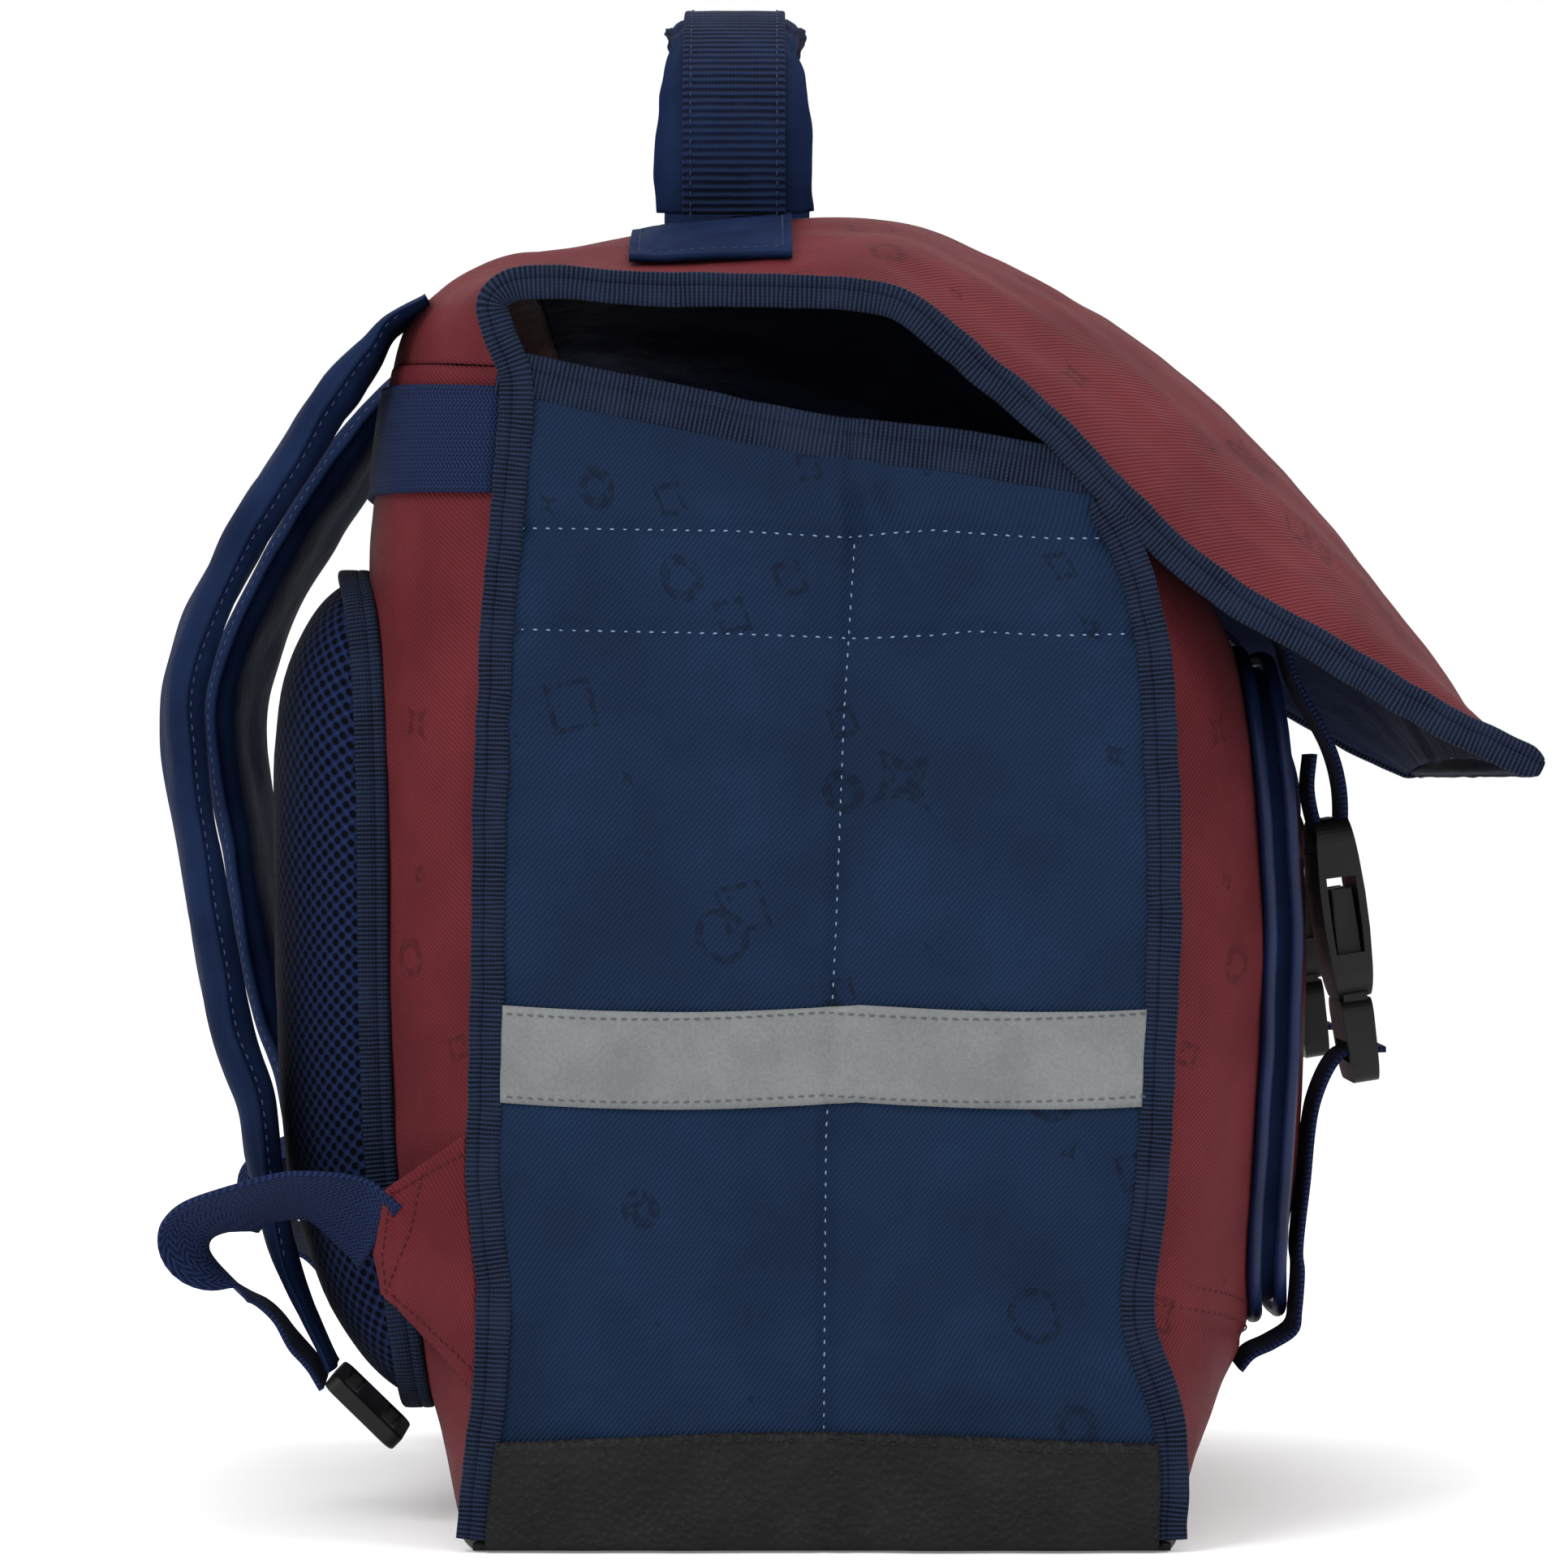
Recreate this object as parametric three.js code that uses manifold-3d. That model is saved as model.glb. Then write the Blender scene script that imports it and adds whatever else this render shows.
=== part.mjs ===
// School ransel: a boxy satchel worn on the back, standing on its base with the flap buckled loosely.
// Millimetres. +X is the bag's front, -X the wearer's back, +Y and -Y its two sides, +Z up.
// The origin is the middle of the underside. "left" is the -Y side and "right" the +Y side.
import * as THREE from "three";
import { mergeVertices } from "three/addons/utils/BufferGeometryUtils.js";
import Module from "manifold-3d";

// Overall sizes
const WIDTH = 280;
const DEPTH = 186; // back seam to front seam
const HEIGHT = 350; // floor to the top seam
const BACK_BULGE = 40; // the back's middle beyond its seams
const FRONT_BULGE = 38;
const CROWN = 48; // the flap's middle above its edges, at the most
const FLAP_OVERHANG = 103; // flap hem beyond the front seam
const FAR_SLACK = 12; // how much lower the flap's right edge hangs over the mouth than its left one
const SIDE_DENT = 5; // how far the side's middle fold sinks in

// Cloth, tape and webbing
const CLOTH = 1.8;
const LINING = 1.2;
const BASE_PLATE = 2.2;
const SHELL_FOOT = 0.95; // the shell's lower edge above the base plate
const LEATHERETTE = 1.4;
const REFLECTIVE = 0.8;
const TAPE_WIDTH = 9.5;
const TAPE_THICK = 4;
const MOUTH_TAPE_WIDTH = 12.5;
const MOUTH_TAPE_THICK = 3;
const WEBBING_WIDTH = 30;
const WEBBING = 1.8;
const GAP = 0.3; // between pieces that touch
const MOUTH_END_GAP = 0.8; // the mouth tape's slanted ends, off the seam tapes

// Side details
const BOOT_HEIGHT = 33;
const STRIP_MIDDLE = 138; // reflective strip, height of its middle
const STRIP_HEIGHT = 27;
const STRIP_SAG = 2;

// Back
const PAD_HALF_WIDTH = 98;
const PAD_BOTTOM = 33;
const PAD_TOP = 273;
const PAD_THICK = 30;
const PAD_CORNER = 0.3; // roundness of its outline
const BAND_BOTTOM = 296;
const BAND_TOP = 327;
const STRAP_WIDTH = 58;
const STRAP_THICK = 12;
const STRAP_Y = 75; // middle of each shoulder strap from the bag's middle
const ADJUSTER_LENGTH = 27;
const ADJUSTER_WIDTH = 38;
const ADJUSTER_THICK = 5;

// Handle
const HANDLE_X = -25;
const HANDLE_WIDTH = 46;
const HANDLE_THICK = 8;
const HANDLE_HALF_SPAN = 62;
const HANDLE_RISE = 61.5; // its middle line above the top's middle
const PATCH_X = -31;
const PATCH_START = 57; // from the bag's middle
const PATCH_END = 118;
const PATCH_THICK = 2;

// Front
const POCKET_HALF_WIDTH = 94;
const POCKET_BOTTOM = 58;
const POCKET_TOP = 250;
const POCKET_DEPTH = 9.5;
const PIPING = 4;
const BUCKLE_Y = 70;
const BUCKLE_WIDTH = 40;
const BUCKLE_THICK = 13;
const BUCKLE_LENGTH = 52;
const BUCKLE_TILT = 0.13; // radians, its foot outwards
const BUCKLE_CLEARANCE = 1.2; // buckle off the pocket's face
const BUCKLE_TOP = 203;

const HALF_WIDTH = WIDTH / 2;
const HALF_DEPTH = DEPTH / 2;
const TAPE_Y = HALF_WIDTH - TAPE_THICK / 2;
const PANEL_Y = HALF_WIDTH - TAPE_THICK - GAP; // edges of the back, flap and front
const SIDE_Y = PANEL_Y + GAP + CLOTH + 0.6; // outer face of the sides
const BACK_LIFT = GAP + 0.2; // what is sewn on a curved panel clears its facets
const SIDES = { left: -1, right: 1 };

const group = new THREE.Group();
const wasm = await Module();
wasm.setup();

// Materials, one for each finish
function finish(colour, roughness) {
  return new THREE.MeshStandardMaterial({ color: colour, roughness, metalness: 0 });
}
const RED_TWILL = finish(0x702e32, 0.75);
const NAVY_TWILL = finish(0x1e3055, 0.75);
const NAVY_LINING = finish(0x1c2440, 0.6);
const NAVY_TAPE = finish(0x1b2744, 0.85);
const NAVY_MESH = finish(0x23345f, 0.9);
const NAVY_SATIN = finish(0x1d2946, 0.45);
const BLACK_LEATHER = finish(0x17171a, 0.55);
const GREY_REFLECTIVE = finish(0x96979a, 0.4);
const BLACK_PLASTIC = finish(0x121214, 0.5);

function add(name, geometry, material) {
  const mesh = new THREE.Mesh(geometry, material);
  mesh.name = name;
  group.add(mesh);
  return mesh;
}

// Rows of numbers under a line of column names become rows of named values.
function table(columns, rows) {
  const names = columns.split(" ");
  return rows.map((row) => Object.fromEntries(names.map((name, i) => [name, row[i]])));
}

const lerp = (a, b, t) => a + (b - a) * t;
const at = (x, y, z) => new THREE.Vector3(x, y, z);
const ACROSS = at(0, 1, 0);

// A smooth curve through points; t runs evenly from point to point.
const smooth = (points) => new THREE.CatmullRomCurve3(points, false, "centripetal");

// A value between the rows of a table, by a column that grows.
function between(rows, key, value, column) {
  let i = 1;
  while (i < rows.length - 1 && rows[i][key] < value) i += 1;
  const t = (value - rows[i - 1][key]) / (rows[i][key] - rows[i - 1][key]);
  return lerp(rows[i - 1][column], rows[i][column], t);
}

// A value between evenly spread rows, at a share of the way along them
function alongRows(rows, share, column) {
  const place = share * (rows.length - 1);
  const i = Math.min(rows.length - 2, Math.floor(place));
  return lerp(rows[i][column], rows[i + 1][column], place - i);
}

// The t where f(t), which rises or falls all the way, passes a value.
function solve(f, value, low, high) {
  const rising = f(high) > f(low);
  for (let i = 0; i < 40; i += 1) {
    const middle = (low + high) / 2;
    if (f(middle) < value === rising) low = middle;
    else high = middle;
  }
  return (low + high) / 2;
}

// A closed body from points and triangles, turned to face outwards.
function body(points, faces) {
  let volume = 0;
  for (const [a, b, c] of faces)
    volume += points[a].dot(points[b].clone().cross(points[c]));
  const turned = volume < 0 ? faces.map(([a, b, c]) => [a, c, b]) : faces;
  const geometry = new THREE.BufferGeometry();
  geometry.setAttribute(
    "position",
    new THREE.Float32BufferAttribute(points.flatMap((p) => [p.x, p.y, p.z]), 3),
  );
  geometry.setIndex(turned.flat());
  return geometry;
}

// Rings of points joined one to the next. Open lofts get an end face, laced from side to side.
function loft(rings, closed = false) {
  const around = rings[0].length;
  const points = rings.flat();
  const faces = [];
  const last = closed ? rings.length : rings.length - 1;
  for (let r = 0; r < last; r += 1)
    for (let i = 0; i < around; i += 1) {
      const here = r * around;
      const next = ((r + 1) % rings.length) * around;
      const j = (i + 1) % around;
      faces.push([here + i, here + j, next + j], [here + i, next + j, next + i]);
    }
  if (!closed)
    for (const [start, flip] of [[0, true], [(rings.length - 1) * around, false]])
      for (let i = 0; i < around / 2 - 1; i += 1) {
        const [a, b, c, d] = [i, i + 1, around - 2 - i, around - 1 - i].map((k) => k + start);
        faces.push(flip ? [a, c, b] : [a, b, c], flip ? [a, d, c] : [a, c, d]);
      }
  return body(points, faces);
}

// A sheet of cloth: its face at (u, v), lifted along its normal, with a wall behind the face.
function sheet(face, rows, columns, wall, lift = 0, flip = 1) {
  const step = 0.01;
  const normal = (u, v) => {
    const [u0, u1, v0, v1] = [u - step, u + step, v - step, v + step].map((k) =>
      Math.min(1, Math.max(0, k)),
    );
    const du = face(u1, v).sub(face(u0, v));
    const dv = face(u, v1).sub(face(u, v0));
    return du.cross(dv).normalize().multiplyScalar(flip);
  };
  const points = [];
  for (const depth of [lift, lift - wall])
    for (let r = 0; r <= rows; r += 1)
      for (let c = 0; c <= columns; c += 1) {
        const [u, v] = [r / rows, c / columns];
        points.push(face(u, v).addScaledVector(normal(u, v), depth));
      }
  const front = (r, c) => r * (columns + 1) + c;
  const behind = (r, c) => front(r, c) + points.length / 2;
  const faces = [];
  for (let r = 0; r < rows; r += 1)
    for (let c = 0; c < columns; c += 1)
      for (const [side, turned] of [[front, false], [behind, true]]) {
        const [p, q, s, t] = [side(r, c), side(r + 1, c), side(r + 1, c + 1), side(r, c + 1)];
        faces.push(turned ? [p, s, q] : [p, q, s], turned ? [p, t, s] : [p, s, t]);
      }
  const rim = [
    ...Array.from({ length: rows }, (_, r) => [r, 0, r + 1, 0]),
    ...Array.from({ length: columns }, (_, c) => [rows, c, rows, c + 1]),
    ...Array.from({ length: rows }, (_, r) => [rows - r, columns, rows - r - 1, columns]),
    ...Array.from({ length: columns }, (_, c) => [0, columns - c, 0, columns - c - 1]),
  ];
  for (const [r0, c0, r1, c1] of rim) {
    const [p, q, s, t] = [front(r0, c0), front(r1, c1), behind(r1, c1), behind(r0, c0)];
    faces.push([p, s, q], [p, t, s]);
  }
  return body(points, faces);
}

// Sections of a sweep, as shares of half its width and half its thickness
const FLAT = [[1, 1], [-1, 1], [-1, -1], [1, -1]];
const TAPE = [[1, 0], [0.75, 1], [-0.75, 1], [-1, 0], [-0.75, -1], [0.75, -1]];
const PADDED = oval(8, 0.55);
const CORD = oval(6, 1);

function oval(corners, power) {
  const bent = (value) => Math.sign(value) * Math.abs(value) ** power;
  return Array.from({ length: corners }, (_, i) => {
    const angle = ((i + 0.5) * 2 * Math.PI) / corners;
    return [bent(Math.cos(angle)), bent(Math.sin(angle))];
  });
}

// A section carried along a route. across(direction, i) is the way its width lies.
function sweep(route, section, across, size, closed = false) {
  const count = route.length;
  const rings = route.map((point, i) => {
    const before = closed ? route[(i + count - 1) % count] : route[Math.max(0, i - 1)];
    const after = closed ? route[(i + 1) % count] : route[Math.min(count - 1, i + 1)];
    const direction = after.clone().sub(before).normalize();
    const face = across(direction, i).clone().cross(direction).normalize();
    const width = direction.clone().cross(face).normalize();
    const { wide, thick } = typeof size === "function" ? size(i / (count - 1)) : size;
    return section.map(([a, b]) =>
      point.clone().addScaledVector(width, (a * wide) / 2).addScaledVector(face, (b * thick) / 2),
    );
  });
  return loft(rings, closed);
}

// Evenly spaced points of a curve, by t
function sample(curve, from, to, steps) {
  return Array.from({ length: steps + 1 }, (_, i) => curve.getPoint(lerp(from, to, i / steps)));
}

function toSolid(geometry) {
  const bare = new THREE.BufferGeometry().setAttribute("position", geometry.getAttribute("position"));
  bare.setIndex(geometry.index);
  const merged = mergeVertices(bare, 1e-3);
  const vertProperties = new Float32Array(merged.attributes.position.array);
  const triVerts = new Uint32Array(merged.index.array);
  return new wasm.Manifold(new wasm.Mesh({ numProp: 3, vertProperties, triVerts }));
}

function toGeometry(solid) {
  const mesh = solid.getMesh();
  const geometry = new THREE.BufferGeometry();
  geometry.setAttribute("position", new THREE.BufferAttribute(mesh.vertProperties, 3));
  geometry.setIndex(new THREE.BufferAttribute(mesh.triVerts, 1));
  return geometry;
}

// A piece with others cut away; of what is left, the largest part.
function cut(geometry, tools) {
  let solid = toSolid(geometry);
  for (const tool of tools) solid = solid.subtract(toSolid(tool));
  const parts = solid.decompose().sort((a, b) => b.volume() - a.volume());
  return toGeometry(parts[0]);
}

function join(geometries) {
  return toGeometry(geometries.map(toSolid).reduce((whole, next) => whole.add(next)));
}

const FOOT = (BASE_PLATE + SHELL_FOOT) / HEIGHT; // the shell's lowest row, a share of the height

// The shell: two cross-sections in the XZ plane, at the seams and at the middle, and between them a face
// that rises from each seam by 1 - |v|^power.
// x is a share of half the depth, over of the flap's overhang, z of the height, out of the back's bulge,
// fore and rise of the crown.
const WRAP = table("x over z out fore rise power", [
  [-1.04, 0, FOOT, 0.18, 0, 0, 5],
  [-1.02, 0, 0.06, 0.35, 0, 0, 5],
  [-0.99, 0, 0.13, 0.6, 0, 0, 5],
  [-0.98, 0, 0.205, 0.78, 0, 0, 5],
  [-1.01, 0, 0.29, 0.83, 0, 0, 5],
  [-1.0, 0, 0.39, 0.92, 0, 0, 5],
  [-0.99, 0, 0.58, 0.98, 0, 0, 5],
  [-0.965, 0, 0.745, 1.07, 0, 0, 5],
  [-0.93, 0, 0.845, 1.1, 0, 0.05, 5],
  [-0.915, 0, 0.93, 1.03, 0, 0.08, 5],
  [-0.965, 0, 0.968, 0.8, 0, 0.16, 4.5],
  [-0.98, 0, 0.99, 0.45, 0, 0.26, 4],
  [-0.92, 0, 1.004, 0.12, 0, 0.33, 3.5],
  [-0.8, 0, 1.006, 0, 0, 0.37, 3.2],
  [-0.5, 0, 1.001, 0, 0, 0.52, 3],
  [-0.15, 0, 1.0, 0, 0, 0.61, 3],
  [0.17, 0, 0.994, 0, 0.05, 0.67, 3],
  [0.27, 0, 0.983, 0, 0.08, 0.71, 3],
  [0.44, 0, 0.946, 0, 0.19, 0.8, 2.9],
  [0.7, 0, 0.888, 0, 0.31, 0.92, 2.7],
  [0.94, 0, 0.821, 0, 0.44, 1.0, 2.6],
  [1, 0.17, 0.764, 0, 0.47, 0.94, 2.6],
  [1, 0.485, 0.709, 0, 0.31, 0.75, 2.6],
  [1, 0.77, 0.659, 0, 0.19, 0.43, 2.6],
  [1, 1, 0.626, 0, 0.02, 0.06, 2.6],
]);
// Share of the slack at each row of the wrap
const SLACK = { 14: 0.35, 15: 0.9, 16: 1, 17: 0.85, 18: 0.3 };
const FRONT = table("x z out power", [
  [1.043, FOOT, 0.16, 5],
  [1.047, 0.071, 0.36, 5],
  [1.027, 0.114, 0.58, 5],
  [0.98, 0.15, 0.87, 5],
  [0.946, 0.188, 1.0, 5],
  [0.986, 0.29, 1.0, 5],
  [1.014, 0.416, 1.0, 5],
  [1.026, 0.497, 0.98, 5],
  [1.01, 0.651, 0.88, 5],
  [0.97, 0.747, 0.7, 4.5],
  [0.903, 0.8, 0.46, 4],
  [0.812, 0.84, 0.24, 4],
]);

const wrapSeam = (slack) =>
  smooth(
    WRAP.map((r, i) =>
      at(r.x * HALF_DEPTH + r.over * FLAP_OVERHANG, 0, r.z * HEIGHT - slack * (SLACK[i] ?? 0)),
    ),
  );
const leftEdge = wrapSeam(0);
const rightEdge = wrapSeam(FAR_SLACK);
const wrapEdge = (side) => (side > 0 ? rightEdge : leftEdge);
const wrapMiddle = smooth(
  WRAP.map((r) =>
    at(
      r.x * HALF_DEPTH + r.over * FLAP_OVERHANG - r.out * BACK_BULGE + r.fore * CROWN,
      0,
      r.z * HEIGHT + r.rise * CROWN,
    ),
  ),
);
const frontEdge = smooth(FRONT.map((r) => at(r.x * HALF_DEPTH, 0, r.z * HEIGHT)));
const frontMiddle = smooth(
  FRONT.map((r) => at(r.x * HALF_DEPTH + r.out * FRONT_BULGE, 0, r.z * HEIGHT)),
);

function powerAt(rows, t) {
  const place = t * (rows.length - 1);
  const i = Math.min(rows.length - 2, Math.floor(place));
  return lerp(rows[i].power, rows[i + 1].power, place - i);
}

function shell(rows, edge, middle, t, y) {
  const full = 1 - Math.min(1, Math.abs(y) / PANEL_Y) ** powerAt(rows, t);
  const point = edge.getPoint(t).lerp(middle.getPoint(t), full);
  return point.setY(y);
}
const wrapAt = (t, y) => shell(WRAP, wrapEdge(y), wrapMiddle, t, y);
const frontAt = (t, y) => shell(FRONT, frontEdge, frontMiddle, t, y);

// Which t of the wrap each stretch covers, as row numbers of its table
const WRAP_ROWS = WRAP.length - 1;
const BACK_END = 9.2 / WRAP_ROWS; // where the back's top runs under the band
const CORNER = 11 / WRAP_ROWS;

const backT = (y, z) => solve((t) => wrapAt(t, y).z, z, 0, CORNER);
const backX = (y, z) => wrapAt(backT(y, z), y).x;
const frontX = (y, z) => frontAt(solve((t) => frontAt(t, y).z, z, 0, 1), y).x;
const topT = (x, y) => solve((t) => wrapAt(t, y).x, x, CORNER, 1);
const topZ = (x, y) => wrapAt(topT(x, y), y).z;
const seamX = (edge, z, high) => edge.getPoint(solve((t) => edge.getPoint(t).z, z, 0, high)).x;

// Edge tapes: the two long ones run up the back seam, over the top and down the flap's edge.
function edgeTape(curve, side, from, to, steps, extra = 0) {
  const route = sample(curve, from, to, steps).map((p) => p.setY(side * TAPE_Y));
  const size = { wide: TAPE_WIDTH + 2 * extra, thick: TAPE_THICK + 2 * extra };
  return sweep(route, TAPE, (direction) => direction.clone().cross(ACROSS), size);
}
const EDGE_STEPS = 44;
const wrapTape = (side, extra = 0) => edgeTape(wrapEdge(side), side, 0, 1, EDGE_STEPS, extra);
const FRONT_EDGE_STEPS = 14;
const frontTape = (side, extra = 0) => edgeTape(frontEdge, side, 0, 1, FRONT_EDGE_STEPS, extra);

// The sides. u runs from the back seam to the front seam.
const MOUTH = table("x z", [
  [-1.0, 0.939],
  [-0.87, 0.931],
  [-0.58, 0.916],
  [-0.39, 0.905],
  [-0.19, 0.894],
  [0.065, 0.882],
  [0.19, 0.879],
  [0.45, 0.871],
  [0.8, 0.855],
  [1.0, 0.845],
]);
const mouthZ = (x) => HEIGHT * between(MOUTH, "x", x / HALF_DEPTH, "z");

function sideDent(x, z) {
  const fold = Math.exp(-((x / (0.16 * HALF_DEPTH)) ** 2));
  const slump = Math.cos((Math.PI / 2) * Math.min(1, Math.abs(x) / HALF_DEPTH));
  const high = Math.min(1, Math.max(0, z / HEIGHT));
  return SIDE_DENT * (0.35 * fold * high + 0.65 * slump * high * high);
}

function sidePoint(side, x, z) {
  return at(x, side * (SIDE_Y - sideDent(x, z)), z);
}

function sideFace(side, low, high) {
  return (u, w) => {
    const guess = lerp(-HALF_DEPTH, HALF_DEPTH * 0.8, u);
    const bottom = typeof low === "function" ? low(guess) : low;
    const top = typeof high === "function" ? high(guess) : high;
    const z = lerp(bottom, top, w);
    const back = seamX(leftEdge, z, CORNER);
    const front = seamX(frontEdge, z, 1);
    return sidePoint(side, lerp(back, front, u), z);
  };
}

function mouthTape(side, extra = 0) {
  const route = [];
  const steps = 8;
  for (let i = 0; i <= steps; i += 1) {
    const x = lerp(-0.97, 0.9, i / steps) * HALF_DEPTH;
    const middle = SIDE_Y - CLOTH / 2 - sideDent(x, mouthZ(x));
    route.push(at(x, side * middle, mouthZ(x)));
  }
  const size = { wide: MOUTH_TAPE_WIDTH + 2 * extra, thick: MOUTH_TAPE_THICK + 2 * extra };
  return sweep(route, TAPE, (direction) => direction.clone().cross(ACROSS), size);
}

function addSides() {
  for (const [word, side] of Object.entries(SIDES)) {
    const tapes = [wrapTape(side, GAP), frontTape(side, GAP)];
    const panel = sheet(sideFace(side, BASE_PLATE + 1, mouthZ), 8, 6, CLOTH, 0, -side);
    add("side_panel_" + word, cut(panel, [...tapes, mouthTape(side, GAP)]), NAVY_TWILL);

    const bootFace = sideFace(side, GAP, BOOT_HEIGHT);
    const boot = sheet(bootFace, 8, 1, LEATHERETTE, GAP + LEATHERETTE, -side);
    add("side_boot_" + word, cut(boot, tapes), BLACK_LEATHER);

    const sag = (x) => -STRIP_SAG * Math.abs(Math.sin((Math.PI * x) / HALF_DEPTH));
    const low = (x) => STRIP_MIDDLE - STRIP_HEIGHT / 2 + sag(x);
    const high = (x) => STRIP_MIDDLE + STRIP_HEIGHT / 2 + sag(x);
    const strip = sheet(sideFace(side, low, high), 8, 1, REFLECTIVE, GAP + REFLECTIVE, -side);
    add("reflective_strip_" + word, cut(strip, tapes), GREY_REFLECTIVE);

    const ends = [wrapTape(side, MOUTH_END_GAP), frontTape(side, MOUTH_END_GAP)];
    add("mouth_tape_" + word, cut(mouthTape(side), [...ends, flapTrim()]), NAVY_TAPE);

    add("edge_binding_" + word, wrapTape(side), NAVY_TAPE);
    add("front_binding_" + word, cut(frontTape(side), [wrapTape(side, GAP)]), NAVY_TAPE);
  }
}

// The back, the base, the front, and the flap with its lining
const SHELL_COLUMNS = 12;
const BACK_ROWS = 11;
const FLAP_ROWS = 20;
const LINING_SKIPS = 4; // rows of the flap, from its back end, that the lining leaves bare
const FRONT_ROWS = 12;
const FLAP_START = BACK_END + 0.001;
const acrossPanel = (v) => lerp(-PANEL_Y, PANEL_Y, v);
const backFace = (u, v) => wrapAt(lerp(0, BACK_END, u), acrossPanel(v));
const flapFace = (u, v) => wrapAt(lerp(FLAP_START, 1, u), acrossPanel(v));
const frontFace = (u, v) => frontAt(u, acrossPanel(v));

// What is sewn on the back, the top or the front is trimmed to that panel's facets.
const TRIM = 24;
const backTrim = () => sheet(backFace, BACK_ROWS, SHELL_COLUMNS, TRIM, GAP);
const flapTrim = () => sheet(flapFace, FLAP_ROWS, SHELL_COLUMNS, CLOTH, GAP);
const frontTrim = () => sheet(frontFace, FRONT_ROWS, SHELL_COLUMNS, TRIM, GAP, -1);

function addShell() {
  add("back_panel", sheet(backFace, BACK_ROWS, SHELL_COLUMNS, CLOTH), RED_TWILL);
  add("flap", sheet(flapFace, FLAP_ROWS, SHELL_COLUMNS, CLOTH), RED_TWILL);

  const liningRows = FLAP_ROWS - LINING_SKIPS;
  const lining = (u, v) => flapFace(lerp(LINING_SKIPS / FLAP_ROWS, 1, u), v);
  const skin = sheet(lining, liningRows, SHELL_COLUMNS, LINING, -CLOTH - GAP);
  add("flap_lining", skin, NAVY_LINING);
  add("front_panel", sheet(frontFace, FRONT_ROWS, SHELL_COLUMNS, CLOTH, 0, -1), RED_TWILL);

  const base = (u, v) => {
    const y = lerp(-SIDE_Y, SIDE_Y, v);
    return at(lerp(wrapAt(0, y).x, frontAt(0, y).x, u), y, BASE_PLATE);
  };
  add("bottom_panel", sheet(base, 2, 12, BASE_PLATE), BLACK_LEATHER);
}

// An outline in the YZ plane: a rounded oblong, as a share r of its full size.
function outline(halfWidth, bottom, top, roundness, corners) {
  const bent = (value) => Math.sign(value) * Math.abs(value) ** roundness;
  return Array.from({ length: corners }, (_, i) => {
    const angle = ((i + 0.5) * 2 * Math.PI) / corners;
    const y = halfWidth * bent(Math.cos(angle));
    return { y, z: (top + bottom) / 2 + ((top - bottom) / 2) * bent(Math.sin(angle)) };
  });
}

// Rings of an outline at shares r of its size and heights above a curved face.
function ringsOver(points, middleZ, surfaceX, toward, levels) {
  return levels.map(([r, height]) =>
    points.map(({ y, z }) => {
      const [ry, rz] = [y * r, lerp(middleZ, z, r)];
      return at(surfaceX(ry, rz) + toward * height, ry, rz);
    }),
  );
}

const PAD_CORNERS = 24;
const PAD_TAPE_WIDTH = 9;
const PAD_TAPE_THICK = 3;
const PAD_RIM = 3; // height of its side walls under the crown
const PAD_RINGS = [0.15, 0.45, 0.7, 0.86, 0.95, 0.985];
const PAD_UNDER_RINGS = [0.985, 0.7, 0.4, 0.15];

function addBackPad() {
  const middle = (PAD_TOP + PAD_BOTTOM) / 2;
  const points = outline(PAD_HALF_WIDTH, PAD_BOTTOM, PAD_TOP, PAD_CORNER, PAD_CORNERS);
  const under = BACK_LIFT + GAP;
  const crown = (r) => under + PAD_RIM + (PAD_THICK - PAD_RIM) * (1 - r ** 4) ** 0.6;
  const upper = PAD_RINGS.map((r) => [r, crown(r)]);
  const lower = PAD_UNDER_RINGS.map((r) => [r, under]);
  const rings = ringsOver(points, middle, backX, -1, [...upper, ...lower]);
  const pad = loft(rings);
  add("back_pad", cut(pad, [backTrim()]), NAVY_MESH);

  const grown = outline(
    PAD_HALF_WIDTH + PAD_TAPE_THICK / 2,
    PAD_BOTTOM - PAD_TAPE_THICK / 2,
    PAD_TOP + PAD_TAPE_THICK / 2,
    PAD_CORNER,
    PAD_CORNERS,
  );
  const lift = PAD_TAPE_WIDTH / 2;
  const route = grown.map(({ y, z }) => at(backX(y, z) - lift, y, z));
  const size = { wide: PAD_TAPE_WIDTH, thick: PAD_TAPE_THICK };
  const ring = sweep(route, TAPE, () => at(1, 0, 0), size, true);
  add("pad_tape", cut(ring, [backTrim()]), NAVY_TAPE);
}

// The webbing band across the back, under which the shoulder straps start
const BAND_THICK = 2;
function addBand() {
  const low = backT(0, BAND_BOTTOM);
  const high = backT(0, BAND_TOP);
  const reach = PANEL_Y - BAND_THICK - GAP;
  const face = (u, v) => wrapAt(lerp(low, high, u), lerp(-reach, reach, v));
  const band = sheet(face, 2, SHELL_COLUMNS, BAND_THICK, BAND_THICK);
  add("strap_band", cut(band, [backTrim(), flapTrim()]), NAVY_TAPE);
}

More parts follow.
